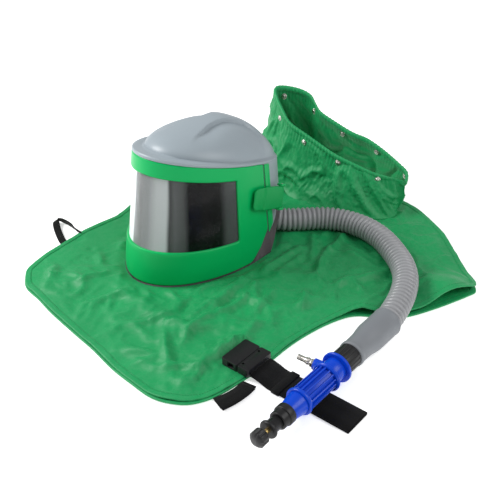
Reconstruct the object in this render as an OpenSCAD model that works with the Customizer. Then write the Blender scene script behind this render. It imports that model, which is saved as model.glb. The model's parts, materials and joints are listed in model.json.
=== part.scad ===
// Supplied-air respirator: blast helmet with a hinged visor door and a head harness, cape with
// a gathered collar, corrugated breathing tube, climate valve and belt.
// The helmet faces -Y. The origin is on the plane the set lies on, under the middle of the visor.

/* [Helmet] */
// Half width of the visor door at its lower edge
door_half_w_low = 123; // [118:1:126]
// Half width of the visor door at its upper edge
door_half_w_top = 105; // [102:1:108]
// Reach of the door in front of the side seams, lower edge
door_reach_low = 200; // [192:1:206]
// Reach of the door in front of the side seams, upper edge
door_reach_top = 163; // [157:1:168]
// Height of the door's upper edge at its sides
door_top_h = 192; // [188:1:196]
// Height of the dome's crown
crown_h = 251; // [248:1:256]
// Wall of the moulded shell and door
shell_wall = 4; // [3:0.5:4.5]

/* [Breathing tube] */
// Outer diameter over the ridges
tube_d = 45; // [40:1:46]

/* [Climate valve] */
// Diameter of the large flanges
flange_d = 50; // [46:1:50]
// Diameter of the barrel between the flanges
barrel_d = 34; // [30:1:36]
// Diameter of the control knob
knob_d = 25; // [22:1:28]

/* [Belt] */
// Width of the webbing
web_w = 50; // [48:1:52]
// Thickness of the webbing
web_t = 2.2; // [1.8:0.1:2.4]

/* [Cape] */
// Thickness of one laid fabric panel, folds included
panel_t = 2.7; // [2:0.1:2.8]
// Height of the collar's rim over the cape at its low side
collar_low = 54; // [46:2:70]

/* [Hidden] */
$fn = 64;

// Colours
shell_grey = [0.58, 0.62, 0.65];
door_green = [0.0, 0.68, 0.35];
cape_green = [0.25, 0.62, 0.40];
trim_dark = [0.26, 0.25, 0.26];
tube_grey = [0.52, 0.52, 0.54];
cuff_grey = [0.45, 0.47, 0.49];
valve_blue = [0.04, 0.25, 0.80];
belt_black = [0.07, 0.07, 0.08];
part_black = [0.10, 0.10, 0.11];
metal = [0.78, 0.76, 0.70];
brass_tone = [0.75, 0.58, 0.27];

// Top of the two laid panels, on which the helmet stands
cape_gap = 0.4;
cape_top = 2 * panel_t + cape_gap;

// ---------- General functions ----------
function mix(a, b, k) = a + (b - a) * k;
function power(c, e) = sign(c) * pow(abs(c), e);

// Faces of a solid made of two grids of points, front then back, each n columns by m rows.
// A closed grid joins its last column to its first.
function slab_faces(n, m, closed = false) = let(
        cols = closed ? n : n - 1,
        back = n * m,
        at = function(i, j) (i % n) + j * n)
    concat(
        [for (j = [0:m - 2], i = [0:cols - 1]) each
            [[at(i, j), at(i + 1, j), at(i + 1, j + 1)], [at(i, j), at(i + 1, j + 1), at(i, j + 1)]]],
        [for (j = [0:m - 2], i = [0:cols - 1]) each
            [[back + at(i, j), back + at(i + 1, j + 1), back + at(i + 1, j)],
             [back + at(i, j), back + at(i, j + 1), back + at(i + 1, j + 1)]]],
        [for (i = [0:cols - 1]) each
            [[at(i, 0), back + at(i, 0), back + at(i + 1, 0)], [at(i, 0), back + at(i + 1, 0), at(i + 1, 0)]]],
        [for (i = [0:cols - 1]) each
            [[at(i, m - 1), at(i + 1, m - 1), back + at(i + 1, m - 1)],
             [at(i, m - 1), back + at(i + 1, m - 1), back + at(i, m - 1)]]],
        closed ? [] : [for (j = [0:m - 2]) each
            [[at(0, j), at(0, j + 1), back + at(0, j + 1)], [at(0, j), back + at(0, j + 1), back + at(0, j)]]],
        closed ? [] : [for (j = [0:m - 2]) each
            [[at(n - 1, j), back + at(n - 1, j), back + at(n - 1, j + 1)],
             [at(n - 1, j), back + at(n - 1, j + 1), at(n - 1, j + 1)]]]);

// A solid between two grids of points, each a list of rows
module slab(front, back, closed = false) {
    n = len(front[0]);
    m = len(front);
    polyhedron(concat([for (row = front) each row], [for (row = back) each row]),
        slab_faces(n, m, closed), convexity = 8);
}

// A solid through closed rings of points, capped at both ends
module loft(rings) {
    n = len(rings[0]);
    m = len(rings);
    at = function(i, j) (i % n) + j * n;
    polyhedron([for (row = rings) each row],
        concat([[for (i = [n - 1:-1:0]) i]],
            [for (j = [0:m - 2], i = [0:n - 1]) each
                [[at(i, j), at(i + 1, j), at(i + 1, j + 1)], [at(i, j), at(i + 1, j + 1), at(i, j + 1)]]],
            [[for (i = [0:n - 1]) at(i, m - 1)]]), convexity = 8);
}

// A hollow cup between outer and inner rings, open at its first ring
module cup(outer, inner) {
    n = len(outer[0]);
    m = len(outer);
    back = n * m;
    at = function(i, j) (i % n) + j * n;
    polyhedron(concat([for (row = outer) each row], [for (row = inner) each row]),
        concat([for (j = [0:m - 2], i = [0:n - 1]) each
                [[at(i, j), at(i + 1, j), at(i + 1, j + 1)], [at(i, j), at(i + 1, j + 1), at(i, j + 1)]]],
            [for (j = [0:m - 2], i = [0:n - 1]) each
                [[back + at(i, j), back + at(i + 1, j + 1), back + at(i + 1, j)],
                 [back + at(i, j), back + at(i, j + 1), back + at(i + 1, j + 1)]]],
            [for (i = [0:n - 1]) each
                [[at(i, 0), back + at(i, 0), back + at(i + 1, 0)], [at(i, 0), back + at(i + 1, 0), at(i + 1, 0)]]],
            [[for (i = [0:n - 1]) at(i, m - 1)]],
            [[for (i = [n - 1:-1:0]) back + at(i, m - 1)]]), convexity = 8);
}

// A solid of revolution along +Y from y = 0, through [distance, radius] stations
module turned(stations) {
    last = len(stations) - 1;
    rotate([-90, 0, 0]) rotate_extrude()
        polygon(concat([[0, stations[0][0]]], [for (s = stations) [s[1], s[0]]], [[0, stations[last][0]]]));
}

// A ring along +Z
module tube(h, r_out, r_in) {
    difference() {
        cylinder(h = h, r = r_out);
        translate([0, 0, -1]) cylinder(h = h + 2, r = r_in);
    }
}

// A ring sector of a horizontal band, from angle a0 to a1
module band(h, r_in, r_out, a0, a1) {
    rotate([0, 0, a0]) rotate_extrude(angle = a1 - a0) translate([r_in, 0]) square([r_out - r_in, h]);
}

// ---------- Helmet wall ----------
rim_z = 8;
seam_y = 24;
top_slope = 0.26;
wall_h = door_top_h - rim_z;
rear_reach = 122;
rear_power = 2.7;

// Point of the front wall at angle t from the right side, height share v and depth d under the surface
function front_point(t, v, d) = let(
        a = mix(door_half_w_low, door_half_w_top, v) - d,
        b = mix(door_reach_low, door_reach_top, v) - d)
    [a * cos(t), -b * sin(t), rim_z + v * (wall_h + top_slope * door_reach_top * sin(t))];

// Point of the wall behind the seam, t from 180 to 360
function rear_point(t, v, d) = let(
        a = mix(door_half_w_low, door_half_w_top, v) - d,
        y = (rear_reach - d) * power(-sin(t), 2 / rear_power))
    [a * power(cos(t), 2 / rear_power), y, rim_z + v * (wall_h - top_slope * y)];

// Point at the seam on side +1 or -1
function seam_point(side, v, d, y) = let(a = mix(door_half_w_low, door_half_w_top, v) - d)
    [side * a, y, rim_z + v * (wall_h - top_slope * y)];

// One row of the visor door, between its two rear ends
function door_row(v, d, a0 = 0, a1 = 180, steps = 24) =
    [for (i = [0:steps]) front_point(mix(a0, a1, i / steps), v, d)];
door_end_y = seam_y - 0.5;
function full_door_row(v, d) =
    concat([seam_point(1, v, d, door_end_y)], door_row(v, d), [seam_point(-1, v, d, door_end_y)]);

// Dome above the upper edge of the door
dome_set_front = 28;
dome_set_side = 10;
dome_front_power = 1;
dome_rear_power = 1;
dome_rise_power = 1.15;
dome_rear_reach = 124;
function dome_point(t, rise, d) = let(
        c = cos(rise),
        k = mix(pow(c, dome_front_power), pow(c, dome_rear_power), (1 - sin(t)) / 2),
        p = sin(t) > 0 ? 1 : 2 / rear_power,
        reach = sin(t) > 0 ? door_reach_top - dome_set_front : dome_rear_reach,
        x = (door_half_w_top - dome_set_side - d) * k * power(cos(t), p),
        y = -(reach - d) * k * power(sin(t), p))
    [x, y,
     door_top_h + (crown_h - d - door_top_h) * pow(sin(rise), dome_rise_power) - top_slope * c * y];

ring_angles = [for (i = [0:47]) i * 7.5];
function wall_ring(v, d) = [for (t = ring_angles) t <= 180 ? front_point(t, v, d) : rear_point(t, v, d)];
function dome_ring(rise, d) = [for (t = ring_angles) dome_point(t, rise, d)];
function helmet_rings(v0, d, top_d) = concat(
    [for (v = [v0, 0.3, 0.6, 0.93]) wall_ring(v, d)],
    [for (rise = [8, 18, 28, 38, 48, 58, 68, 78, 87]) dome_ring(rise, top_d)]);
module helmet_solid(v0, d, top_d) { loft(helmet_rings(v0, d, top_d)); }

// ---------- Visor door ----------
window_low_v = 0.28;
window_top_v = 0.868;
window_a0 = 16;
window_a1 = 164;
hinge_x = -(door_half_w_low + 5);
hinge_y = 21;
hinge_r = 4;
pin_r = 1.5;
pin_gap = 0.05;
// At height z the door's leg clears the shell inside this radius about the hinge
function swing_r(z) = mix(door_half_w_low, door_half_w_top, (z - rim_z) / (wall_h - top_slope * seam_y))
    - shell_wall - hinge_x - 1;

module window_cut(grow, d0, d1) {
    slab([for (v = [window_low_v - grow / wall_h, window_top_v + grow / wall_h])
            door_row(v, d0, window_a0 - grow / 2.4, window_a1 + grow / 2.4, 20)],
         [for (v = [window_low_v - grow / wall_h, window_top_v + grow / wall_h])
            door_row(v, d1, window_a0 - grow / 2.4, window_a1 + grow / 2.4, 20)]);
}

// The lower rear corner of the door is cut away along a slant from its rear edge to its lower edge
slant_top = [seam_y, 57];
slant_foot = [-25, rim_z];
module behind_slant(gap) {
    translate([-200, 0, 0]) rotate([90, 0, 90]) linear_extrude(400)
        polygon([slant_top + [gap, 1], slant_foot + [gap, -1], [slant_foot[0] + gap, -20], [300, -20],
                 [300, slant_top[1] + 1]]);
}

module visor_door() {
    color(door_green) difference() {
        slab([for (v = [0, 0.12, 0.24, 0.9, 0.99]) full_door_row(v, 0)],
             [for (v = [0, 0.12, 0.24, 0.9, 0.99]) full_door_row(v, shell_wall)]);
        window_cut(0, -6, 12);
        behind_slant(0);
    }
}

module window_gasket() {
    color(part_black) difference() {
        window_cut(9, 4.2, 6.4);
        window_cut(4.4, 2, 9);
    }
}

// Soft seal inside the upper edge of the door
module brow_seal() {
    color(trim_dark) slab([for (v = [0.92, 0.96]) door_row(v, shell_wall + 0.6, 12, 168)],
        [for (v = [0.92, 0.96]) door_row(v, shell_wall + 2.8, 12, 168)]);
}

module lens() { color([0.12, 0.13, 0.14, 0.9]) window_cut(4, 4.2, 6.2); }

module tear_off_lens() {
    tab_v = 0.5;
    color([0.85, 0.90, 0.90, 0.4]) {
        window_cut(-0.6, 2.3, 3.1);
        slab([for (v = [tab_v, tab_v + 0.09]) [front_point(160, v, -4), front_point(162, v, -4)]],
             [for (v = [tab_v, tab_v + 0.09]) [front_point(160, v, 2.8), front_point(162, v, 2.8)]]);
    }
}

knuckle_z = [62, 82, 138, 158];
module knuckle(z0, z1, y0, y1, bore_r) {
    side_x = -(mix(door_half_w_low, door_half_w_top, (z0 + z1 - 2 * rim_z) / 2 / wall_h) - 1.5);
    difference() {
        union() {
            translate([hinge_x, hinge_y, z0]) cylinder(h = z1 - z0, r = hinge_r);
            translate([hinge_x, y0, z0]) cube([side_x - hinge_x, y1 - y0, z1 - z0]);
        }
        translate([hinge_x, hinge_y, z0 - 1]) cylinder(h = z1 - z0 + 2, r = bore_r);
    }
}

module door_knuckle() {
    color(door_green) knuckle(knuckle_z[1] + 0.4, knuckle_z[2] - 0.4, hinge_y - hinge_r, hinge_y - 0.6,
        pin_r + pin_gap);
}

module hinge_barrel() {
    color(part_black) {
        knuckle(knuckle_z[0], knuckle_z[1], hinge_y + hinge_r - 0.6, hinge_y + hinge_r + 5, pin_r);
        knuckle(knuckle_z[2], knuckle_z[3], hinge_y + hinge_r - 0.6, hinge_y + hinge_r + 5, pin_r);
    }
}

module hinge_pin() {
    color(metal) translate([hinge_x, hinge_y, knuckle_z[0] - 2])
        cylinder(h = knuckle_z[3] - knuckle_z[0] + 4, r = pin_r);
}

// ---------- Helmet shell ----------
pocket_d = 8.4;
// Front point of the shell, kept inside the circle that the door's leg sweeps
function inner_front(t, v, d) = let(
        p = t < 0 ? seam_point(1, v, d, seam_y)
            : t > 180 ? seam_point(-1, v, d, seam_y) : front_point(t, v, d),
        arm = [p[0] - hinge_x, p[1] - hinge_y],
        k = min(1, (swing_r(p[2]) - d + pocket_d) / norm(arm)))
    [hinge_x + arm[0] * k, hinge_y + arm[1] * k, p[2]];
shell_front_angles = [-1, each [0:7.5:180], 181];
shell_rear_angles = [for (i = [0:22]) 192 + i * 156 / 22];
function shell_rear(v, d) = concat([seam_point(-1, v, d, seam_y + 0.4)],
    [for (t = shell_rear_angles) rear_point(t, v, d)], [seam_point(1, v, d, seam_y + 0.4)]);
// Rows of the shell: behind the door it is set back, above the door its edge stands out as a brim
function shell_row(v, d) =
    concat([for (t = shell_front_angles) inner_front(t, v, pocket_d + d)], shell_rear(v, d));
function brim_row(v, d) = concat([seam_point(1, v, d, seam_y)], [for (t = [0:7.5:180]) front_point(t, v, d)],
    [seam_point(-1, v, d, seam_y)], shell_rear(v, d));
function dome_row(rise, d) = concat([dome_point(-4, rise, d)], [for (t = [0:7.5:180]) dome_point(t, rise, d)],
    [dome_point(184, rise, d), dome_point(188, rise, d)], [for (t = shell_rear_angles) dome_point(t, rise, d)],
    [dome_point(352, rise, d)]);
dome_rises = [9, 18, 28, 38, 48, 58, 68, 78, 87];

module helmet_shell() {
    color(shell_grey) difference() {
        cup(concat([for (v = [0.02, 0.3, 0.6, 0.985]) shell_row(v, 0)],
                [for (v = [1, 1.035]) brim_row(v, 0)],
                [for (rise = dome_rises) dome_row(rise, 0)]),
            concat([for (v = [0.02, 0.3, 0.6, 0.985]) shell_row(v, shell_wall)],
                [for (v = [0.99, 1]) shell_row(v, shell_wall)],
                [for (rise = dome_rises) dome_row(rise, shell_wall)]));
        // Face opening behind the lens
        translate([-84, -240, 46]) cube([150, 240, 142]);
        rear_cut();
    }
}

// Space under the shell's lower edge behind the seam
shell_edge = [[seam_y - 0.5, 50], [seam_y + 34, 80], [240, 92]];
trim_edge = [[seam_y + 4, cape_top], [seam_y + 10, 11], [seam_y + 34, 44], [seam_y + 60, 60], [240, 64]];
module under(edge, lift = 0) {
    translate([-200, 0, 0]) rotate([90, 0, 90]) linear_extrude(400)
        polygon(concat([[edge[0][0], -30]], [for (p = edge) p + [0, lift]], [[240, -30]]));
}
module rear_cut() { under(shell_edge); }
module above_shell_edge() {
    translate([-200, 0, -0.4]) rotate([90, 0, 90]) linear_extrude(400)
        polygon([[seam_y + 0.1, 300], [seam_y + 0.1, 50], shell_edge[1], shell_edge[2], [240, 300]]);
}

module neck_trim() {
    lip_v = [-0.009, -0.002];
    color(trim_dark) {
        difference() {
            intersection() {
                difference() {
                    loft([for (v = [-0.009, 0.3, 0.6]) wall_ring(v, 1)]);
                    loft([for (v = [-0.1, 0.3, 0.7]) wall_ring(v, shell_wall - 0.2)]);
                }
                union() {
                    behind_slant(1);
                    translate([-200, seam_y + 0.6, 0]) cube([400, 300, 200]);
                }
            }
            above_shell_edge();
            under(trim_edge);
        }
        // Lip under the door's lower edge
        slab([for (v = lip_v) concat([seam_point(1, v, 0.6, seam_y + 4)], door_row(v, 0.6),
                [seam_point(-1, v, 0.6, seam_y + 4)])],
             [for (v = lip_v) concat([seam_point(1, v, 5, seam_y + 4)], door_row(v, 5),
                [seam_point(-1, v, 5, seam_y + 4)])]);
    }
}

// Raised centre of the dome, its side steps growing towards the rear
crest_half = [[-1, -112], [14, -112], [34, -77], [23, -40], [18, 0], [27, 38], [42, 60], [70, 60], [70, 130],
    [-1, 130]];
module crest() {
    color(shell_grey) difference() {
        intersection() {
            helmet_solid(0.3, 0, -4);
            linear_extrude(400) for (side = [-1, 1]) scale([side, 1]) polygon(crest_half);
            translate([-200, 0, 189]) rotate([-14.6, 0, 0]) translate([0, -200, 0]) cube([400, 400, 200]);
        }
        helmet_solid(0.02, 0, 0);
    }
}

module side_strip(side) {
    color(door_green) intersection() {
        difference() {
            loft([for (v = [0.2, 0.6, 0.99]) wall_ring(v, -2.2)]);
            loft([for (v = [0.1, 0.6, 1.05]) wall_ring(v, 0)]);
            rear_cut();
        }
        translate([side > 0 ? 60 : -200, seam_y + 0.6, 30]) cube([140, 15, 170]);
    }
}

// ---------- Latch ----------
latch_tilt = 17;
latch_half_w = 20;
latch_pivot_y = 38;
latch_pivot_x = 5.4;
latch_pin_r = 1.6;
// Places children in the latch's own frame: +X out of the side wall, +Y to the rear, +Z up the wall
module on_side() {
    translate([115.2, 20, 122]) rotate([-latch_tilt, 0, 0]) rotate([0, -6, 0]) children();
}

module latch() {
    color(door_green) on_side() difference() {
        union() {
            hull() for (z = [-1, 1]) {
                translate([1.4, -30, z * (latch_half_w - 9)]) rotate([0, 90, 0])
                    cylinder(h = 5.4, r = 9, $fn = 32);
                translate([1.4, latch_pivot_y - 9, z * (latch_half_w - 2)]) rotate([0, 90, 0])
                    cylinder(h = 5.4, r = 2, $fn = 32);
            }
            translate([1.4, latch_pivot_y - 12, -latch_half_w]) cube([5.4, 12, 2 * latch_half_w]);
            translate([latch_pivot_x, latch_pivot_y, -latch_half_w]) cylinder(h = 2 * latch_half_w, r = 4);
        }
        translate([latch_pivot_x, latch_pivot_y, -50]) cylinder(h = 100, r = latch_pin_r + pin_gap);
    }
}

module latch_base() {
    color(door_green) on_side() difference() {
        for (z = [-latch_half_w - 4.4, latch_half_w + 0.4])
            translate([-1.5, latch_pivot_y - 6, z]) cube([11, 12, 4]);
        translate([latch_pivot_x, latch_pivot_y, -50]) cylinder(h = 100, r = latch_pin_r);
    }
}

module latch_pin() {
    color(metal) on_side() translate([latch_pivot_x, latch_pivot_y, -latch_half_w - 5])
        cylinder(h = 2 * latch_half_w + 10, r = latch_pin_r);
}

// ---------- Air supply inside the helmet ----------
module air_duct() {
    duct_half_w = 22;
    color(part_black) intersection() {
        difference() {
            helmet_solid(0.1, shell_wall + 7, shell_wall + 7);
            helmet_solid(-0.1, shell_wall + 14, shell_wall + 14);
        }
        translate([-duct_half_w, -112, 102]) cube([2 * duct_half_w, 300, 200]);
    }
}

// ---------- Head harness ----------
head_y = -6;
band_z = 104;
band_h = 22;
sweat_r = 82;
band_r = 86;
arm_r = 89;
module head_frame() { translate([0, head_y, band_z]) children(); }

module sweatband() { color(part_black) head_frame() band(band_h + 4, sweat_r, band_r - 0.4, 192, 348); }
module headband_front() { color(trim_dark) head_frame() band(band_h, band_r, band_r + 2, 175, 365); }

rack_h = 7;
// Rear arm of the headband: full height at the side, a narrow rack where it runs through the housing
module band_arm(side) {
    cut_z = side > 0 ? rack_h : -1;
    color(part_black) head_frame() mirror([side > 0 ? 0 : 1, 0, 0]) difference() {
        band(band_h, arm_r, arm_r + 2, -8, 104);
        translate([0, 0, cut_z]) band(band_h - rack_h + 1, arm_r - 1, arm_r + 3, 52, 110);
    }
}

pinion_r = (band_h - 2 * rack_h) / 2 - 0.15;
axle_r = 2.2;
ratchet_y = head_y + arm_r;
module ratchet_pinion() {
    color(part_black) translate([0, ratchet_y - 1.5, band_z + band_h / 2]) turned([[0, pinion_r], [5, pinion_r],
        [5, axle_r], [15, axle_r]]);
}

module ratchet_housing() {
    color(trim_dark) head_frame() difference() {
        band(band_h + 8, arm_r + 2.5, arm_r + 8, 68, 112);
        translate([0, arm_r - 10, band_h / 2]) rotate([-90, 0, 0]) cylinder(h = 13.8, r = pinion_r + 0.3);
        translate([0, arm_r - 10, band_h / 2]) rotate([-90, 0, 0]) cylinder(h = 40, r = axle_r + pin_gap);
    }
}

module ratchet_knob() {
    grips = 10;
    knob_r = 14;
    color(part_black) translate([0, ratchet_y + 9.4, band_z + band_h / 2]) rotate([-90, 0, 0]) difference() {
        cylinder(h = 8, r = knob_r);
        for (i = [0:grips - 1]) rotate([0, 0, i * 360 / grips])
            translate([knob_r + 1.5, 0, -1]) cylinder(h = 10, r = 3);
        translate([0, 0, -1]) cylinder(h = 5.1, r = axle_r);
    }
}

module crown_strap() {
    strap_half_w = 9;
    color(trim_dark) head_frame() translate([0, 0, band_h]) difference() {
        intersection() {
            sphere(r = band_r + 1.8);
            translate([-100, -strap_half_w, 0]) cube([200, 2 * strap_half_w, 100]);
        }
        sphere(r = band_r);
    }
}

// Studs that hang the harness in the shell: start x, y, height and length
stud_places = [[82.5, head_y, 156, 13.5], [84, -34, 115, 14.5]];
module harness_studs() {
    color(part_black) for (side = [-1, 1], p = stud_places)
        translate([side * p[0], p[1], p[2]]) rotate([0, side * 90, 0]) cylinder(h = p[3], r = 4.5);
}

module pad(side) {
    color([0.2, 0.2, 0.22]) hull() for (y = [-18, 22], z = [82, 94])
        translate([side * 91, y, z]) rotate([0, side * 90, 0]) cylinder(h = 7, r = 8, $fn = 32);
}

// ---------- Breathing tube ----------
// Middle of the tube from the helmet's nape to the cuff of the valve
tube_route = [[10, 72, 66], [36, 80, 52], [62, 90, 38], [88, 104, 31], [116, 128, 31], [150, 160, 31],
    [188, 177, 31], [232, 179, 31], [275, 166, 31], [313, 143, 31], [353, 110, 31], [382, 72, 31],
    [400, 30, 30], [410, -10, 28.5], [415, -44, 26]];
inlet_at = tube_route[0];
inlet_dir = tube_route[1] - tube_route[0];
inlet_turn = [0, acos(inlet_dir[2] / norm(inlet_dir)), atan2(inlet_dir[1], inlet_dir[0])];
inlet_bore_r = 17.2;
route_steps = 3;
tube_sides = 12;

// Smooth curve through the route's points
function route_at(i, k) = let(
        last = len(tube_route) - 1,
        p0 = tube_route[max(i - 1, 0)],
        p1 = tube_route[i],
        p2 = tube_route[min(i + 1, last)],
        p3 = tube_route[min(i + 2, last)])
    0.5 * (2 * p1 + (p2 - p0) * k + (2 * p0 - 5 * p1 + 4 * p2 - p3) * k * k
        + (3 * p1 - p0 - 3 * p2 + p3) * k * k * k);
route_fine = concat([for (i = [0:len(tube_route) - 2], s = [0:route_steps - 1]) route_at(i, s / route_steps)],
    [tube_route[len(tube_route) - 1]]);
function unit(p) = p / norm(p);
function heading(i) = let(last = len(route_fine) - 1)
    i == last ? [0, -1, 0] : unit(route_fine[min(i + 1, last)] - route_fine[max(i - 1, 0)]);
function route_ring(i, r) = let(
        h = heading(i),
        side = unit(cross(h, [0, 0, 1])),
        up = cross(side, h))
    [for (j = [0:tube_sides - 1]) let(t = j * 360 / tube_sides)
        route_fine[i] + r * (side * cos(t) + up * sin(t))];
cuff_y = tube_route[len(tube_route) - 1][1];
tube_first = 2;
module breathing_tube() {
    color(tube_grey) loft([for (i = [tube_first:len(route_fine) - 1]) route_ring(i, tube_d / 2)]);
}

// Moulded elbow between the duct and the stub
module inlet_elbow() {
    color(part_black) hull() {
        translate(inlet_at - unit(inlet_dir) * 22) sphere(r = 13, $fn = 32);
        translate([-20, 109, 95]) cube([26, 6, 6.6]);
    }
}

// Stub of the helmet's air inlet, inside the first cuff
module inlet_spigot() {
    color(part_black) translate(inlet_at) rotate(inlet_turn) translate([0, 0, -14]) {
        tube(24, inlet_bore_r, inlet_bore_r - 2.5);
        tube(3, inlet_bore_r + 6, inlet_bore_r);
    }
}

module inlet_cuff() {
    color(cuff_grey) translate(inlet_at) rotate(inlet_turn) translate([0, 0, -5])
        tube(27, tube_d / 2 - 1.5, inlet_bore_r);
}

module inlet_clamp() {
    color(metal) translate(inlet_at) rotate(inlet_turn) translate([0, 0, -4]) {
        tube(8, tube_d / 2, tube_d / 2 - 1.5);
        translate([tube_d / 2 - 1, -4, 0]) cube([6, 8, 8]);
    }
}

// ---------- Climate valve, along -Y ----------
valve_x = 415;
valve_z = flange_d / 2 + 0.6;
cuff_len = 108;
cuff_end_y = cuff_y - cuff_len;
nut_len = 34;
body_y = cuff_end_y - nut_len;
// Places children with +Y of the child towards the knob
module on_valve(y) { translate([valve_x, y, valve_z]) rotate([0, 0, 180]) children(); }

module valve_cuff() {
    color(cuff_grey) on_valve(cuff_y) difference() {
        turned([[0, 25], [52, 25], [78, 22], [cuff_len - 1, 21], [cuff_len, 20]]);
        translate([0, 62, 0]) rotate([-90, 0, 0]) cylinder(h = cuff_len, r = 17);
    }
}

module coupling_nut() {
    ribs = 18;
    color(part_black) on_valve(cuff_end_y - 0.3) rotate([-90, 0, 0]) difference() {
        cylinder(h = nut_len - 0.6, r = 20);
        for (i = [0:ribs - 1]) rotate([0, 0, i * 360 / ribs])
            translate([20.6, 0, 3]) cylinder(h = nut_len, r = 1.4, $fn = 24);
        translate([0, 0, -1]) cylinder(h = nut_len + 2, r = 15.05);
    }
}

body_len = 124;
spout_len = nut_len + 16;
flange_2 = 27;
flange_3 = 93;
boss_y = body_y - 15;
nipple_r = 4.5;
nipple_turn = [0, -86, 8];
module valve_body() {
    color(valve_blue) on_valve(body_y) difference() {
        union() {
            translate([0, -spout_len, 0]) turned([[0, 15], [spout_len, 15]]);
            turned([[0, 18], [flange_2 - 1.5, 18], [flange_2, barrel_d / 2], [flange_3 - 0.5, barrel_d / 2],
                [flange_3 + 0.5, 18], [flange_3 + 8, 18], [body_len, 14.5]]);
            for (i = [0:11]) rotate([0, i * 30, 0])
                translate([-1.2, flange_3 + 8.5, 12]) rotate([-9, 0, 0]) cube([2.4, 22, 5]);
        }
        translate([0, -spout_len - 1, 0]) rotate([-90, 0, 0]) cylinder(h = 90 + nut_len, r = 12);
        translate([0, 60, 0]) rotate([-90, 0, 0]) cylinder(h = body_len, r = 8);
        translate([0, body_y - boss_y, 0]) rotate(nipple_turn + [0, 180, 0]) cylinder(h = 60, r = 6);
    }
}

module valve_flanges() {
    fin_count = 16;
    color(valve_blue) on_valve(body_y) {
        difference() {
            union() {
                turned([[0, flange_d / 2 - 1], [1, flange_d / 2], [4, flange_d / 2], [5, flange_d / 2 - 1]]);
                translate([0, flange_2, 0]) turned([[0, flange_d / 2 - 3], [2, flange_d / 2 - 1],
                    [4, flange_d / 2 - 1], [6, flange_d / 2 - 3]]);
                translate([0, flange_3, 0]) turned([[0, flange_d / 2 - 4], [2, flange_d / 2 - 3],
                    [4.5, flange_d / 2 - 3], [6, flange_d / 2 - 4]]);
                for (i = [0:fin_count - 1]) if (cos(i * 360 / fin_count) > -0.6)
                    rotate([0, i * 360 / fin_count, 0]) translate([-1, flange_2 + 5, 15])
                        cube([2, flange_3 - flange_2 - 4, 5]);
            }
            translate([0, -1, 0]) rotate([-90, 0, 0]) cylinder(h = flange_2, r = 18);
            translate([0, flange_2 - 2, 0]) rotate([-90, 0, 0])
                cylinder(h = flange_3 - flange_2 + 2.2, r = barrel_d / 2);
            translate([0, flange_3 + 0.2, 0]) rotate([-90, 0, 0]) cylinder(h = 10, r = 18);
        }
    }
}

// Places children with +Z of the child out of the valve's side, turned up and clear of the helmet
module on_nipple() {
    translate([valve_x, boss_y, valve_z]) rotate(nipple_turn) children();
}

module nipple_boss() {
    color(valve_blue) difference() {
        on_nipple() translate([0, 0, 15]) cylinder(h = 15, r = 9);
        translate([valve_x, boss_y, valve_z]) rotate([90, 0, 0]) cylinder(h = 60, r = 18, center = true);
        on_nipple() translate([0, 0, 10]) cylinder(h = 30, r = nipple_r - 1);
    }
}

module air_nipple() {
    color(metal) on_nipple() translate([0, 0, 18.4]) difference() {
        union() {
            cylinder(h = 13.6, r = nipple_r - 1);
            translate([0, 0, 11.6]) cylinder(h = 5, r = 7, $fn = 6);
            translate([0, 0, 16.6]) cylinder(h = 9, r = 5.2);
            translate([0, 0, 19.6]) cylinder(h = 3, r = 6);
            translate([0, 0, 25.6]) cylinder(h = 13, r = nipple_r);
            translate([0, 0, 38.6]) cylinder(h = 1, r1 = nipple_r, r2 = nipple_r - 1);
        }
        translate([0, 0, -1]) cylinder(h = 50, r = 2.2);
    }
}

module belt_bracket() {
    color(part_black) translate([valve_x, body_y, 0]) {
        difference() {
            translate([-12, -82, 2 * web_t + 0.5]) cube([24, 44, 9]);
            translate([0, 0, valve_z]) rotate([90, 0, 0]) cylinder(h = 200, r = barrel_d / 2, center = true);
        }
    }
}

module valve_nut() {
    color(part_black) on_valve(body_y - body_len) difference() {
        union() {
            turned([[0, 16], [10, 16], [11, 15.5]]);
            translate([0, 11, 0]) turned([[0, 14], [11, 14], [12, 13]]);
        }
        translate([0, -1, 0]) rotate([-90, 0, 0]) cylinder(h = 40, r = 8);
    }
}

stem_r = 3.5;
barrel_start = body_y - 100;
module valve_barrel() {
    color(part_black) on_valve(barrel_start) difference() {
        turned([[0, 8], [47, 8], [47, 10.5], [63, 10.5], [63, 13], [65, 14], [67, 14], [69, 13]]);
        translate([0, -1, 0]) rotate([-90, 0, 0]) cylinder(h = 80, r = stem_r + pin_gap);
    }
}

stem_start = barrel_start - 20;
knob_y = barrel_start - 78;
module valve_stem() {
    color(brass_tone) on_valve(stem_start) turned([[0, stem_r], [68, stem_r]]);
}

module valve_knob() {
    grips = 12;
    color(part_black) on_valve(knob_y) rotate([-90, 0, 0]) difference() {
        union() {
            cylinder(h = 2.5, r1 = knob_d / 2 - 2, r2 = knob_d / 2);
            translate([0, 0, 2.5]) cylinder(h = 11, r = knob_d / 2);
            translate([0, 0, 13.5]) cylinder(h = 4, r1 = knob_d / 2, r2 = knob_d / 2 - 5);
        }
        for (i = [0:grips - 1]) rotate([0, 0, i * 360 / grips])
            translate([knob_d / 2 + 1, 0, 2.5]) cylinder(h = 20, r = 2, $fn = 24);
        translate([0, 0, -1]) cylinder(h = 11, r = stem_r + pin_gap);
    }
}

// ---------- Belt, folded in two; its left end and the buckle lie on the cape ----------
belt_y = -245;
belt_right = 492;
buckle_x = 262;
buckle_h = 13;
buckle_z = cape_top + 0.2;
socket_len = 30;
prong_pivot_x = buckle_x + socket_len + 5;
belt_left = prong_pivot_x + 17.1;
belt_path = [[belt_left, buckle_z], [322, buckle_z], [350, 0], [belt_right - 4, 0]];
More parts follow.
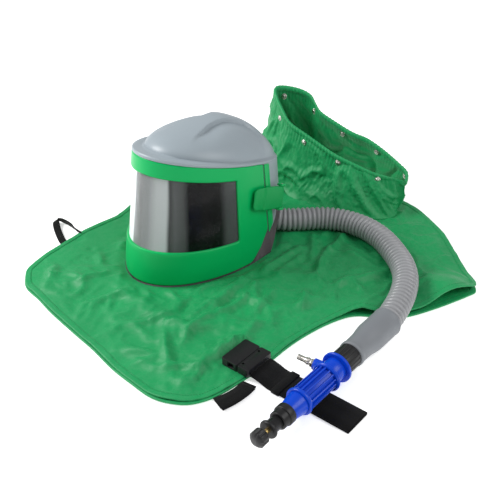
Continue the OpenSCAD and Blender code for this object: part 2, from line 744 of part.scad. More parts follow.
// One layer of webbing along the belt's path, z0 above it
module webbing(z0) {
    n = len(belt_path);
    translate([0, belt_y + web_w / 2, z0]) rotate([90, 0, 0]) linear_extrude(web_w)
        polygon(concat(belt_path, [for (i = [n - 1:-1:0]) belt_path[i] + [0, web_t]]));
}

module belt_upper() {
    color(belt_black) {
        webbing(web_t + 0.4);
        translate([belt_right - 4, belt_y + web_w / 2, web_t + 0.2]) rotate([90, 0, 0]) difference() {
            cylinder(h = web_w, r = web_t + 0.2);
            translate([0, 0, -1]) cylinder(h = web_w + 2, r = 0.2);
            translate([-20, -10, -1]) cube([20, 20, web_w + 2]);
        }
    }
}

module belt_lower() { color(belt_black) webbing(0); }

module belt_keeper() {
    color(belt_black) translate([356, belt_y - web_w / 2 - 2, 2 * web_t + 0.4]) cube([14, web_w + 4, 1.5]);
}

// ---------- Buckle, its mouth towards +X ----------
module plate(x0, x1) {
    hull() for (x = [x0 + 3, x1 - 3], y = [-1, 1])
        translate([x, y * 26, 0]) cylinder(h = buckle_h, r = 3, $fn = 32);
}

module buckle_socket() {
    color(part_black) translate([buckle_x, belt_y, buckle_z]) difference() {
        plate(0, socket_len);
        translate([6, -23, 2.5]) cube([socket_len, 46, buckle_h - 5]);
        for (y = [-1, 1]) translate([12, y * 27 - 4, 2]) cube([12, 8, buckle_h - 4]);
    }
}

module buckle_plug() {
    color(part_black) translate([prong_pivot_x, belt_y, buckle_z]) difference() {
        union() {
            plate(-4, 17);
            translate([-socket_len + 4, -5, 3]) cube([socket_len, 10, buckle_h - 6]);
        }
        translate([7, -25.5, -1]) cube([4, 51, buckle_h - 4]);
        for (y = [-1, 1]) translate([0, y * 19, -1]) cylinder(h = 30, r = 2 + pin_gap);
        for (y = [-1, 1]) translate([-6, y * 19 - 3, 2.8]) cube([7, 6, buckle_h - 5.6]);
    }
}

module prong(side) {
    prong_h = buckle_h - 6.4;
    color(part_black) translate([prong_pivot_x, belt_y, buckle_z + 3.2]) {
        translate([0, side * 19, 0]) cylinder(h = prong_h, r = 2);
        translate([-23, side * 19 - 2, 0]) cube([23, 4, prong_h]);
        translate([-22, side * 22 - 2, 0]) cube([9, 4, prong_h]);
    }
}

// ---------- Cape ----------
// Outline of the laid cape, front hem first
cape_outline = [[-171, -313], [-143, -331], [-99, -339], [-49, -350], [27, -362], [75, -369], [135, -381],
    [184, -386], [222, -388], [250, -381], [276, -365], [292, -341], [300, -314], [304, -290],
    [310, -235], [311, -165], [318, -110], [332, -60], [352, -28], [400, 2], [432, 50], [468, 140],
    [470, 166], [440, 196], [392, 247], [330, 305], [265, 345], [225, 362], [100, 390], [0, 390],
    [-90, 372], [-150, 330], [-225, 268], [-286, 214], [-312, 172], [-302, 128], [-262, 62], [-228, 10],
    [-209, -50], [-207, -78], [-212, -147], [-207, -201], [-199, -255], [-188, -294]];
// The back panel lies under the front panel, pushed a little towards the near side
lower_shift = [3, -3.5];
module cape_shape() { offset(8) offset(-8) polygon(cape_outline); }

module cape_lower() {
    color(cape_green) translate([lower_shift[0], lower_shift[1], 0]) linear_extrude(panel_t) cape_shape();
}

module cape_upper() {
    color(cape_green) translate([0, 0, panel_t + cape_gap]) linear_extrude(panel_t) difference() {
        cape_shape();
        polygon([for (t = [0:7.5:359]) [collar_point(t, 0, 3)[0], collar_point(t, 0, 3)[1]]]);
    }
}

// Bound edge along the front hem
module cape_hem() {
    hem_w = 10;
    color(cape_green) translate([0, 0, cape_top]) linear_extrude(1.2) intersection() {
        difference() {
            cape_shape();
            offset(-hem_w) cape_shape();
            translate([buckle_x - 4, belt_y - 31]) square([64, 62]);
        }
        translate([-230, -400]) square([560, 140]);
    }
}

// Collar: neck opening that stands up behind the helmet and leans to its low side
collar_base = [[48, 298], [186, 76]];
collar_rim = [[75, 302], [157, 39]];
rim_slope = -0.4;
rim_lean = 0.35;
rim_z0 = collar_low + 76;
function oval_point(oval, t, d) = oval[0] + [(oval[1][0] - d) * cos(t), (oval[1][1] - d) * sin(t)];
function collar_point(t, k, d) = let(
        low = oval_point(collar_base, t, d),
        top = oval_point(collar_rim, t, d),
        rim = rim_z0 + rim_slope * (top[0] - collar_rim[0][0]) + rim_lean * (top[1] - collar_rim[0][1]),
        e = pow(k, 0.7))
    [mix(low[0], top[0], e), mix(low[1], top[1], e), mix(cape_top, rim, k)];
collar_t = 2.6;
collar_rows = [0, 0.15, 0.35, 0.6, 0.8, 1];
module collar() {
    angles = [0:7.5:359];
    color(cape_green) slab(
        [for (k = collar_rows) [for (t = angles) collar_point(t, k, 0)]],
        [for (k = collar_rows) [for (t = angles) collar_point(t, k, collar_t)]], true);
}

// Casing with the elastic, on the rim
module collar_casing() {
    angles = [0:7.5:359];
    color(cape_green) slab(
        [for (z = [0, 7]) [for (t = angles) collar_point(t, 1, -0.8) + [0, 0, z]]],
        [for (z = [0, 7]) [for (t = angles) collar_point(t, 1, collar_t + 0.8) + [0, 0, z]]], true);
}

snap_count = 9;
module collar_snaps() {
    color(metal) for (i = [0:snap_count - 1]) {
        t = i * 360 / snap_count + 12;
        p = collar_point(t, 1, collar_t) + [0, 0, -12];
        out = unit([cos(t) / collar_rim[1][0], sin(t) / collar_rim[1][1], 0]);
        translate(p - out * 2.6) rotate([0, 90, atan2(out[1], out[0])]) cylinder(h = 1.6, r = 5, $fn = 24);
    }
}

// ---------- Straps of the cape, sewn against its edge ----------
module strap(points) {
    color(belt_black) translate([0, 0, 0.2]) linear_extrude(2 * web_t) difference() {
        offset(2) offset(-2) polygon(points);
        cape_shape();
        translate(lower_shift) cape_shape();
        children();
    }
}

module strap_loop() {
    strap([[-170, -128], [-250, -128], [-284, -150], [-288, -176], [-262, -192], [-170, -170]])
        polygon([[-199, -142], [-246, -142], [-270, -156], [-272, -170], [-258, -177], [-199, -160]]);
}

module strap_end() {
    strap([[296, -336], [307, -297], [319, -279], [339, -306], [318, -358]]);
}

cape_lower();
cape_upper();
cape_hem();
collar();
collar_casing();
collar_snaps();
strap_loop();
strap_end();
helmet_shell();
crest();
side_strip(-1);  // side_strip_left
side_strip(1);  // side_strip_right
neck_trim();
air_duct();
inlet_elbow();
inlet_spigot();
inlet_cuff();
inlet_clamp();
hinge_barrel();
hinge_pin();
latch_base();
latch_pin();
latch();
visor_door();
door_knuckle();
brow_seal();
window_gasket();
lens();
tear_off_lens();
headband_front();
sweatband();
crown_strap();
harness_studs();
pad(-1);  // pad_left
pad(1);  // pad_right
band_arm(-1);  // band_arm_left
band_arm(1);  // band_arm_right
ratchet_housing();
ratchet_pinion();
ratchet_knob();
breathing_tube();
valve_cuff();
coupling_nut();
valve_body();
valve_flanges();
belt_bracket();
nipple_boss();
air_nipple();
valve_nut();
valve_barrel();
valve_stem();
valve_knob();
belt_upper();
belt_lower();
belt_keeper();
buckle_socket();
buckle_plug();
prong(-1);  // prong_left
prong(1);  // prong_right
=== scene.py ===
"""Looks of the supplied-air respirator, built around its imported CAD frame.

Shapes are worked out in millimetres, as in the CAD model, and put into Blender in metres.
+Z is up, the helmet faces -Y, and the valve and the belt lie on the +X side.
"""
import json
import math
from math import cos, pi, radians, sin

import bmesh
import bpy
import numpy as np
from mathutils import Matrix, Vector, noise
from mathutils.geometry import delaunay_2d_cdt
from numpy.linalg import norm


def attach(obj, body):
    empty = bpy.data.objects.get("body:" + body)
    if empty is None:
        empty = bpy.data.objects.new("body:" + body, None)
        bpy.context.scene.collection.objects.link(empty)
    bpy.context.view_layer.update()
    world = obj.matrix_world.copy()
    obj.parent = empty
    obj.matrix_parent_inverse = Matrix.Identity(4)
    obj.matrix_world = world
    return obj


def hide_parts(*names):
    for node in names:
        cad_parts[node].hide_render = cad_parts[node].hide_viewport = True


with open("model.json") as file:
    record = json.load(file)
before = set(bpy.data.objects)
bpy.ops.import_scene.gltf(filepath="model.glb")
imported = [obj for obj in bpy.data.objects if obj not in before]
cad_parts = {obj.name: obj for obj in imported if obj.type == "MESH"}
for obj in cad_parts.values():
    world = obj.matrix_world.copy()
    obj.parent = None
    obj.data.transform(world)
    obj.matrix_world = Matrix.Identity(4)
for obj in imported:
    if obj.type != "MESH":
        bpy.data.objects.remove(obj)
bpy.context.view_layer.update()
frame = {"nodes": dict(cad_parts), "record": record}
nodes = frame["nodes"]
MM = 0.001


# ---------- General functions ----------
def mix(a, b, k):
    return a + (b - a) * k


def power(c, e):
    return math.copysign(abs(c) ** e, c)


def ease(k):
    k = min(max(k, 0.0), 1.0)
    return k * k * (3 - 2 * k)


def circle(sides):
    return [2 * pi * i / sides for i in range(sides)]


def spline(points, steps, closed=False):
    """Smooth curve through points, with that many steps in each span."""
    n, out = len(points), []
    for i in range(n if closed else n - 1):
        near = [(i + k) % n if closed else min(max(i + k, 0), n - 1) for k in (-1, 0, 1, 2)]
        p = [np.array(points[j], float) for j in near]
        for s in range(steps):
            k = s / steps
            out.append(0.5 * (2 * p[1] + (p[2] - p[0]) * k + (2 * p[0] - 5 * p[1] + 4 * p[2] - p[3]) * k * k
                              + (3 * p[1] - p[0] - 3 * p[2] + p[3]) * k ** 3))
    return out if closed else out + [np.array(points[-1], float)]


def resample(points, pitch, closed=False):
    """The same line with points an equal distance apart, about pitch."""
    line = np.array(list(points) + ([points[0]] if closed else []), float)
    along = np.concatenate([[0], np.cumsum(norm(np.diff(line, axis=0), axis=1))])
    count = max(2, round(along[-1] / pitch))
    at = np.linspace(0, along[-1], count + 1)
    out = np.stack([np.interp(at, along, line[:, i]) for i in range(line.shape[1])], axis=1)
    return out[:-1] if closed else out


def mesh_piece(name, points, faces, smooth=True):
    """A mesh object from points in millimetres."""
    mesh = bpy.data.meshes.new(name)
    mesh.from_pydata([tuple(float(c) * MM for c in p) for p in points], [], faces)
    mesh.validate()
    for polygon in mesh.polygons:
        polygon.use_smooth = smooth
    obj = bpy.data.objects.new(name, mesh)
    bpy.context.scene.collection.objects.link(obj)
    return obj


def outward(obj):
    """Turns every face of a closed mesh outwards."""
    work = bmesh.new()
    work.from_mesh(obj.data)
    bmesh.ops.recalc_face_normals(work, faces=work.faces)
    work.to_mesh(obj.data)
    work.free()
    return obj


def grid_piece(name, rows, closed=False, ring=False, caps=False):
    """Rows of points joined into a skin. closed joins each row's ends, ring the last row to the first."""
    m, n = len(rows), len(rows[0])
    faces = []
    for j in range(m if ring else m - 1):
        for i in range(n if closed else n - 1):
            a, b = j * n + i, j * n + (i + 1) % n
            c, d = (j + 1) % m * n + (i + 1) % n, (j + 1) % m * n + i
            faces.append((a, b, c, d))
    if caps:
        faces += [tuple(range(n))[::-1], tuple(range((m - 1) * n, m * n))]
    return outward(mesh_piece(name, [p for row in rows for p in row], faces))


def turned(name, stations, place, sides=64):
    """A solid of revolution through (distance, radius) stations; place puts (along, u, w) in the frame."""
    rows = [[place(y, r * cos(a), r * sin(a)) for a in circle(sides)]
            for y, r in stations]
    return grid_piece(name, rows, closed=True, caps=True)


def ribbon(name, centre, across, width, thick, edge=0.7):
    """A strap along centre points (mm). across gives the strap's width direction at a point's index."""
    rows = []
    for i, p in enumerate(centre):
        p = np.array(p, float)
        run = np.array(centre[min(i + 1, len(centre) - 1)], float) - np.array(centre[max(i - 1, 0)], float)
        side = np.array(across(i), float)
        up = np.cross(run, side)
        up /= norm(up)
        w, t = width / 2, thick / 2
        rows.append([p + side * u + up * v for u, v in (
            (-w, 0), (-w + edge, -t), (-w / 3, -t), (w / 3, -t), (w - edge, -t),
            (w, 0), (w - edge, t), (w / 3, t), (-w / 3, t), (-w + edge, t))])
    return grid_piece(name, rows, closed=True, caps=True)


def add_modifier(obj, kind, **values):
    modifier = obj.modifiers.new(kind.lower(), kind)
    for key, value in values.items():
        setattr(modifier, key, value)
    return modifier


def subtract(obj, *cutters):
    """Cuts closed meshes out of obj and removes them."""
    for cutter in cutters:
        add_modifier(obj, "BOOLEAN", operation="DIFFERENCE", solver="EXACT", object=cutter)
    apply_modifiers(obj)
    for cutter in cutters:
        bpy.data.objects.remove(cutter)
    return obj


def apply_modifiers(obj):
    graph = bpy.context.evaluated_depsgraph_get()
    graph.update()
    mesh = bpy.data.meshes.new_from_object(obj.evaluated_get(graph))
    obj.modifiers.clear()
    obj.data = mesh
    return obj


def sharpen(obj, angle=35):
    obj.data.polygons.foreach_set("use_smooth", [True] * len(obj.data.polygons))
    obj.data.set_sharp_from_angle(angle=radians(angle))
    return obj


def prism(name, outline, axis, low, high):
    """A closed block from an outline of two coordinates, run from low to high along axis 0, 1 or 2."""
    def place(p, h):
        q = list(p)
        q.insert(axis, h)
        return q
    n = len(outline)
    points = [place(p, low) for p in outline] + [place(p, high) for p in outline]
    faces = [tuple(range(n))[::-1], tuple(range(n, 2 * n))]
    faces += [(i, (i + 1) % n, n + (i + 1) % n, n + i) for i in range(n)]
    return outward(mesh_piece(name, points, faces, smooth=False))


def rounded_outline(corners, radius, steps=5):
    """An outline with its corners rounded; radius is one number or one for each corner."""
    out, n = [], len(corners)
    for i, corner in enumerate(corners):
        c = np.array(corner, float)
        r = radius[i] if isinstance(radius, (list, tuple)) else radius
        before, after = np.array(corners[i - 1], float) - c, np.array(corners[(i + 1) % n], float) - c
        r_in = min(r, norm(before) * 0.48)
        r_out = min(r, norm(after) * 0.48)
        a, b = c + before / norm(before) * r_in, c + after / norm(after) * r_out
        for s in range(steps + 1):
            k = s / steps
            out.append(a * (1 - k) ** 2 + c * 2 * k * (1 - k) + b * k * k)
    return out


def settle(obj, body, slot, *replaced, material=None):
    """Gives a piece its slot's material, hangs it on its body and hides the CAD nodes it stands for."""
    obj.data.materials.clear()
    obj.data.materials.append(material or materials[slot])
    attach(obj, body)
    if replaced:
        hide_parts(*replaced)
    return obj


# ---------- Camera ----------
camera = bpy.data.objects.new("camera", bpy.data.cameras.new("camera"))
bpy.context.scene.collection.objects.link(camera)
camera.data.lens = 55.31
camera.data.sensor_width = 36
camera.data.clip_start = 0.05
camera.location = (0.8697, -0.9459, 0.7771)
look_down = radians(32)
look = Vector((-0.634 * cos(look_down), 0.773 * cos(look_down), -sin(look_down)))
camera.rotation_euler = look.to_track_quat("-Z", "Y").to_euler()
bpy.context.scene.camera = camera


# ---------- Materials ----------
class Paint:
    """A material's node tree, with short ways to add what every finish here is made of."""

    def __init__(self, name, roughness=0.5, metallic=0.0, **sockets):
        self.material = bpy.data.materials.new(name)
        self.material.use_nodes = True
        self.tree = self.material.node_tree
        self.shader = self.tree.nodes["Principled BSDF"]
        self.shader.inputs["Roughness"].default_value = roughness
        self.shader.inputs["Metallic"].default_value = metallic
        for key, value in sockets.items():
            self.shader.inputs[key.replace("_", " ")].default_value = value
        coordinates = self.tree.nodes.new("ShaderNodeTexCoord")
        self.place = coordinates.outputs["Object"]
        self.bumps = None

    def node(self, kind, inputs=None, **properties):
        node = self.tree.nodes.new(kind)
        for key, value in properties.items():
            setattr(node, key, value)
        for key, value in (inputs or {}).items():
            if isinstance(value, bpy.types.NodeSocket):
                self.tree.links.new(value, node.inputs[key])
            else:
                node.inputs[key].default_value = value
        return node

    def link(self, source, target):
        self.tree.links.new(source, target)

    def noise(self, scale, detail=3.0, stretch=None, roughness=0.55):
        """Noise by size: scale is features per metre."""
        vector = self.place
        if stretch:
            vector = self.node("ShaderNodeMapping", {"Vector": vector, "Scale": stretch}).outputs[0]
        return self.node("ShaderNodeTexNoise", {"Vector": vector, "Scale": scale, "Detail": detail,
                                                "Roughness": roughness}).outputs["Fac"]

    def wave(self, axis, scale, distortion=0.0):
        inputs = {"Vector": self.place, "Scale": scale, "Distortion": distortion}
        return self.node("ShaderNodeTexWave", inputs, wave_type="BANDS", bands_direction=axis).outputs["Fac"]

    def ramp(self, factor, stops):
        """Colours by factor: stops are (position, colour)."""
        node = self.node("ShaderNodeValToRGB", {"Fac": factor})
        elements = node.color_ramp.elements
        while len(elements) < len(stops):
            elements.new(0.5)
        for element, (position, colour) in zip(elements, stops):
            element.position = position
            element.color = (*colour, 1)
        return node.outputs["Color"]

    def math(self, operation, a, b=0.0, clamp=False):
        return self.node("ShaderNodeMath", {0: a, 1: b}, operation=operation, use_clamp=clamp).outputs[0]

    def times(self, a, b, clamp=False):
        return self.math("MULTIPLY", a, b, clamp)

    def spread(self, value, low, high):
        """A value from 0 to 1, spread from low to high."""
        return self.node("ShaderNodeMapRange", {"Value": value, "To Min": low, "To Max": high}).outputs[0]

    def blend(self, factor, a, b, kind="MIX"):
        node = self.node("ShaderNodeMix", data_type="RGBA", blend_type=kind)
        for socket, value in ((node.inputs[0], factor), (node.inputs[6], a), (node.inputs[7], b)):
            if isinstance(value, bpy.types.NodeSocket):
                self.link(value, socket)
            else:
                socket.default_value = value if isinstance(value, float) else (*value, 1)
        return node.outputs[2]

    def bump(self, height, strength, distance):
        """Adds a relief; distance is its depth in metres."""
        inputs = {"Height": height, "Strength": strength, "Distance": distance}
        if self.bumps:
            inputs["Normal"] = self.bumps
        self.bumps = self.node("ShaderNodeBump", inputs).outputs[0]

    def done(self, colour, roughness=None):
        self.link(colour, self.shader.inputs["Base Color"])
        if roughness is not None:
            self.link(roughness, self.shader.inputs["Roughness"])
        if self.bumps:
            self.link(self.bumps, self.shader.inputs["Normal"])
        return self.material


def tone(red, green, blue):
    """Screen colour from 0 to 255 as linear light."""
    return tuple((c / 255 / 12.92 if c < 10 else ((c / 255 + 0.055) / 1.055) ** 2.4)
                 for c in (red, green, blue))


def shade(colour, k):
    return tuple(min(1.0, c * k) for c in colour)


def moulded(name, colour, roughness=0.35, grain=0.00006, spread=0.06, coat=0.0, wear=0.25, gloss=0.5):
    """Moulded plastic or rubber: slight colour drift, moulding grain, scuffs and paler worn edges."""
    paint = Paint(name, roughness, Coat_Weight=coat, Coat_Roughness=0.12, Specular_IOR_Level=gloss)
    drift = paint.noise(9, 3)
    base = paint.ramp(drift, [(0.3, shade(colour, 1 - spread)), (0.7, shade(colour, 1 + spread))])
    edge = paint.node("ShaderNodeNewGeometry").outputs["Pointiness"]
    worn = paint.times(paint.math("SUBTRACT", edge, 0.53, True), 9.0, True)
    worn = paint.times(worn, paint.noise(160, 4), True)
    pale = shade(mix(np.array(colour), np.array((0.8, 0.8, 0.8)), 0.35), 1.1)
    base = paint.blend(paint.times(worn, wear, True), base, tuple(pale))
    scuff = paint.noise(60, 5, (1, 1, 0.25))
    rough = paint.spread(scuff, roughness * 0.82, roughness * 1.25)
    paint.bump(paint.noise(1500, 2), 0.5, grain)
    paint.bump(paint.noise(45, 2), 0.3, 0.0002)
    return paint.done(base, rough)


def nylon(name, colour, weave=900, crease=0.35):
    """Coated nylon cloth: plain weave, soft sheen, rubbed creases and slight soiling."""
    paint = Paint(name, 0.46, Sheen_Weight=0.06, Sheen_Roughness=0.4, Specular_IOR_Level=0.35)
    drift = paint.noise(7, 4)
    base = paint.ramp(drift, [(0.3, shade(colour, 0.93)), (0.5, colour), (0.72, shade(colour, 1.07))])
    fine = paint.noise(55, 6, roughness=0.7)
    off_middle = paint.math("ABSOLUTE", paint.math("SUBTRACT", fine, 0.5))
    line = paint.math("SUBTRACT", 1.0, paint.times(off_middle, 22.0), True)
    pale = mix(np.array(colour), np.array((0.55, 0.8, 0.62)), 0.4)
    base = paint.blend(paint.times(line, 0.07), base, tuple(pale))
    warp, weft = paint.wave("X", weave), paint.wave("Y", weave)
    rise = paint.wave("Z", weave)
    weave_height = paint.math("ADD", paint.times(warp, weft), paint.times(rise, 0.4))
    paint.bump(weave_height, 0.35, 0.00012)
    paint.bump(fine, crease, 0.0005)
    return paint.done(base)


def webbing(name, colour, pitch=420):
    """Woven webbing: close ribs and a soft fuzz that catches light."""
    paint = Paint(name, 0.9, Sheen_Weight=0.05, Sheen_Roughness=0.5, Specular_IOR_Level=0.15)
    ribs = paint.times(paint.wave("X", pitch, 0.6), paint.wave("Y", pitch, 0.6))
    fuzz = paint.noise(700, 4)
    base = paint.ramp(paint.math("ADD", paint.times(ribs, 0.6), paint.times(fuzz, 0.4)),
                      [(0.2, shade(colour, 0.6)), (0.75, shade(colour, 1.5))])
    paint.bump(ribs, 0.8, 0.0003)
    paint.bump(fuzz, 0.4, 0.0002)
    return paint.done(base)


def plated(name, colour, roughness):
    """Turned metal: fine tool marks, slight tarnish."""
    paint = Paint(name, roughness, metallic=1.0)
    base = paint.ramp(paint.noise(120, 4), [(0.3, shade(colour, 0.75)), (0.65, colour)])
    marks = paint.noise(900, 2, (1, 0.1, 1))
    rough = paint.spread(marks, roughness * 0.7, roughness * 1.5)
    paint.bump(marks, 0.3, 0.00005)
    return paint.done(base, rough)


# Painted reflection bands across the lens, from its right end to its left: angle share and brightness
PAINTED_LENS_REFLECTIONS = [(0.0, 88), (0.06, 82), (0.09, 52), (0.11, 26), (0.17, 16), (0.185, 40), (0.21, 24),
              (0.235, 30), (0.26, 84), (0.31, 92), (0.335, 78), (0.35, 150), (0.41, 142), (0.46, 118),
              (0.52, 106), (0.575, 120), (0.59, 186), (0.68, 190), (0.7, 96), (0.8, 60), (0.85, 120),
              (0.9, 96), (1.0, 80)]


def painted_reflection_lens():
    """Dark glossy lens with painted reflections: vertical light and dark bands painted round it by angle as
    base colour, under a hard gloss.
    """
    paint = Paint("lens_painted_reflection", 0.3, Coat_Weight=0.12, Coat_Roughness=0.05, Specular_IOR_Level=0.12)
    axes = paint.node("ShaderNodeSeparateXYZ", {0: paint.place})
    angle = paint.math("ARCTAN2", paint.times(axes.outputs["Y"], -1 / 1.6), axes.outputs["X"])
    ripple = paint.times(paint.math("SUBTRACT", paint.noise(16, 2, (1, 1, 0.12)), 0.5), 0.05)
    share = paint.math("ADD", paint.math("DIVIDE", angle, pi), ripple)
    # Painted reflection: the band brightness is spread further from mid grey, and the bands are laid round
    # the lens by angle
    levels = [(at, min(250, max(8, v + 0.8 * (v - 92)))) for at, v in PAINTED_LENS_REFLECTIONS]
    stops = [(0.089 + 0.822 * at, tone(v * 0.97, v * 0.99, v)) for at, v in levels]
    # The base colour is the painted reflection, light and dark bands that stand in for studio lights
    # mirrored in the lens
    base = paint.ramp(share, stops)
    dust = paint.noise(420, 6, roughness=0.8)
    rough = paint.spread(dust, 0.2, 0.36)
    return paint.done(base, rough)


def clear_film(name, cover):
    paint = Paint(name, 0.08)
    paint.shader.inputs["Transmission Weight"].default_value = 1.0
    paint.shader.inputs["Alpha"].default_value = cover
    paint.shader.inputs["IOR"].default_value = 1.3
    base = paint.ramp(paint.noise(90, 5), [(0.3, (0.86, 0.9, 0.9)), (0.7, (0.97, 0.98, 0.98))])
    return paint.done(base)


DOOR = tone(0, 176, 93)
CAPE = tone(18, 148, 84)
SHELL = tone(150, 161, 168)
materials = {
    "shell_plastic": moulded("shell_plastic", SHELL, 0.38, 0.00008, 0.03),
    "door_plastic": moulded("door_plastic", DOOR, 0.34, 0.00003, 0.02, coat=0.04, wear=0.12, gloss=0.2),
    "latch_rubber": moulded("latch_rubber", tone(0, 156, 80), 0.42, 0.0001, 0.04, wear=0.1, gloss=0.25),
    "dark_trim": moulded("dark_trim", tone(66, 62, 64), 0.75, 0.0003, 0.12, wear=0.1),
    # The lens material paints reflection bands into its colour
    "lens_dark": painted_reflection_lens(),
    "lens_clear": clear_film("clear_film", 0.05),
    "black_plastic": moulded("black_plastic", tone(20, 20, 22), 0.4, 0.0001, 0.1, gloss=0.35),
    "tube_plastic": moulded("tube_plastic", tone(150, 151, 154), 0.3, 0.00006, 0.06),
    "cuff_rubber": moulded("cuff_rubber", tone(122, 126, 131), 0.5, 0.00012, 0.05),
    "valve_plastic": moulded("valve_plastic", tone(0, 66, 200), 0.3, 0.00004, 0.05,
                             coat=0.05, wear=0.1, gloss=0.3),
    "plated_steel": plated("plated_steel", (0.74, 0.71, 0.66), 0.25),
    "stem_brass": plated("stem_brass", (0.8, 0.58, 0.22), 0.3),
    "cape_nylon": nylon("cape_nylon", CAPE),
    "webbing": webbing("webbing", tone(15, 15, 16)),
    "padding": nylon("padding", tone(52, 52, 56), weave=700, crease=0.2),
}


def dress_cad_nodes():
    """CAD nodes that stay: their slot's material, smooth shading and a small rounded edge."""
    for part in frame["record"]["subparts"]:
        node = nodes[part["node"]]
        node.data.materials.clear()
        node.data.materials.append(materials[part["material_slot"]])
        if "custom_normal" in node.data.attributes:
            node.data.attributes.remove(node.data.attributes["custom_normal"])
        add_modifier(node, "WELD", merge_threshold=0.00002)
        add_modifier(node, "BEVEL", width=0.0004, segments=2, limit_method="ANGLE",
                     angle_limit=radians(40), use_clamp_overlap=True)
        sharpen(node, 32)


dress_cad_nodes()

# ---------- Breathing tube ----------
# Middle of the tube from the helmet's nape to the cuff of the valve, in metres
TUBE_ROUTE = [(0.010, 0.072, 0.066), (0.036, 0.080, 0.052), (0.062, 0.090, 0.038), (0.088, 0.104, 0.031),
              (0.116, 0.128, 0.031), (0.150, 0.160, 0.031), (0.188, 0.177, 0.031), (0.232, 0.179, 0.031),
              (0.275, 0.166, 0.031), (0.313, 0.143, 0.031), (0.353, 0.110, 0.031), (0.382, 0.072, 0.031),
              (0.400, 0.030, 0.030), (0.410, -0.010, 0.0285), (0.415, -0.044, 0.026)]
TUBE_R = 22.5


def breathing_tube():
    """Corrugated tube: round ridges a regular pitch apart along the route."""
    pitch, depth, per_ridge, sides = 9.4, 4.2, 10, 40
    line = resample([p * 1000 for p in spline(TUBE_ROUTE, 8)[5:]], pitch / per_ridge)
    rows = []
    for i, p in enumerate(line):
        run = line[min(i + 1, len(line) - 1)] - line[max(i - 1, 0)]
        run /= norm(run)
        side = np.cross(run, (0, 0, 1))
        side /= norm(side)
        up = np.cross(side, run)
        phase = abs(sin(pi * i / per_ridge))
        r = TUBE_R - depth * (1 - phase) ** 1.3
        rows.append([p + r * (side * cos(a) + up * sin(a)) for a in circle(sides)])
    tube = grid_piece("corrugated_tube", rows, closed=True, caps=True)
    settle(tube, "respirator", "tube_plastic", "breathing_tube")
    path = [tuple(p * MM) for p in line[::per_ridge]] + [tuple(line[-1] * MM)]
    length = sum(float(norm(np.array(b) - np.array(a))) for a, b in zip(path, path[1:]))
    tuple(path[0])
    return line


tube_line = breathing_tube()

# ---------- Helmet wall, the same formulas as in the CAD model ----------
DOOR_HALF_W, DOOR_REACH = (123, 105), (200, 163)
RIM_Z, TOP_Z, CROWN_Z, WALL, SEAM_Y, SLOPE = 8, 192, 251, 4, 24, 0.26
WALL_H, REAR, REAR_POWER, HINGE = TOP_Z - RIM_Z, 122, 2.7, (-128, 21)


def front_point(t, v, d):
    a, b = mix(*DOOR_HALF_W, v) - d, mix(*DOOR_REACH, v) - d
    t = radians(t)
    return np.array((a * cos(t), -b * sin(t),
                     RIM_Z + v * (WALL_H + SLOPE * DOOR_REACH[1] * sin(t))))


def rear_point(t, v, d):
    t = radians(t)
    y = (REAR - d) * power(-sin(t), 2 / REAR_POWER)
    return np.array(((mix(*DOOR_HALF_W, v) - d) * power(cos(t), 2 / REAR_POWER), y,
                     RIM_Z + v * (WALL_H - SLOPE * y)))


def seam_point(side, v, d, y):
    return np.array((side * (mix(*DOOR_HALF_W, v) - d), y, RIM_Z + v * (WALL_H - SLOPE * y)))


def wall_point(w, v, d):
    """Point of the door's wall: w from 0 to 180 round the front, and 10 more past each side to the seam."""
    if w < 0:
        return seam_point(1, v, d, -w / 10 * (SEAM_Y - 0.5))
    if w > 180:
        return seam_point(-1, v, d, (w - 180) / 10 * (SEAM_Y - 0.5))
    return front_point(w, v, d)


def dome_point(t, rise, d):
    t, rise = radians(t), radians(rise)
    c, s = cos(rise), sin(t)
    k = c
    p, reach = (1, DOOR_REACH[1] - 28) if s > 0 else (2 / REAR_POWER, 124)
    y = -(reach - d) * k * power(s, p)
    return np.array(((DOOR_HALF_W[1] - 10 - d) * k * power(cos(t), p), y,
                     TOP_Z + (CROWN_Z - d - TOP_Z) * sin(rise) ** 1.15 - SLOPE * c * y))


# Edge of the sunken cheek on the right side of the dome, seen from above; the left side mirrors it
CHEEK_EDGE = resample(spline([(60, -150), (48, -112), (34, -77), (26, -46), (19, -16), (19, 16), (29, 41),
                              (40, 58), (56, 65), (74, 58), (98, 36), (112, 22)], 6), 2.0)


def cheek_distance(x, y):
    """Distance from the cheek's edge: above 0 inside the cheek."""
    p = np.array((abs(x), y))
    i = int(np.argmin(norm(CHEEK_EDGE - p, axis=1)))
    run = CHEEK_EDGE[min(i + 1, len(CHEEK_EDGE) - 1)] - CHEEK_EDGE[max(i - 1, 0)]
    run /= norm(run)
    away = p - CHEEK_EDGE[i]
    return away[0] * run[1] - away[1] * run[0]


def relief(x, y, z):
    """How far the dome's skin stands out of the plain dome: the crest and rear stand up, the cheeks sink."""
    front_fade = ease((y + 96) / 66)
    low_fade = mix(0.22, 1, ease((z - 200) / 34))
    inside = cheek_distance(x, y)
    crest = 3.4 * front_fade * low_fade
    step = ease((inside + 1.2) / 4.0)
    sink = -3.4 * front_fade * low_fade * ease(inside / 3) * (1 - ease((inside - 4) / 30))
    return crest * (1 - step) + sink * step


def inner_front(t, v, d):
    """Front of the shell, kept inside the circle that the door's leg sweeps about its hinge."""
    at_seam = t < 0 or t > 180
    p = seam_point(1 if t < 0 else -1, v, d, SEAM_Y) if at_seam else front_point(t, v, d)
    arm = p[:2] - np.array(HINGE)
    swing = mix(*DOOR_HALF_W, (p[2] - RIM_Z) / (WALL_H - SLOPE * SEAM_Y)) - WALL - HINGE[0] - 1
    k = min(1.0, (swing - d + 8.4) / norm(arm))
    return np.array((HINGE[0] + arm[0] * k, HINGE[1] + arm[1] * k, p[2]))


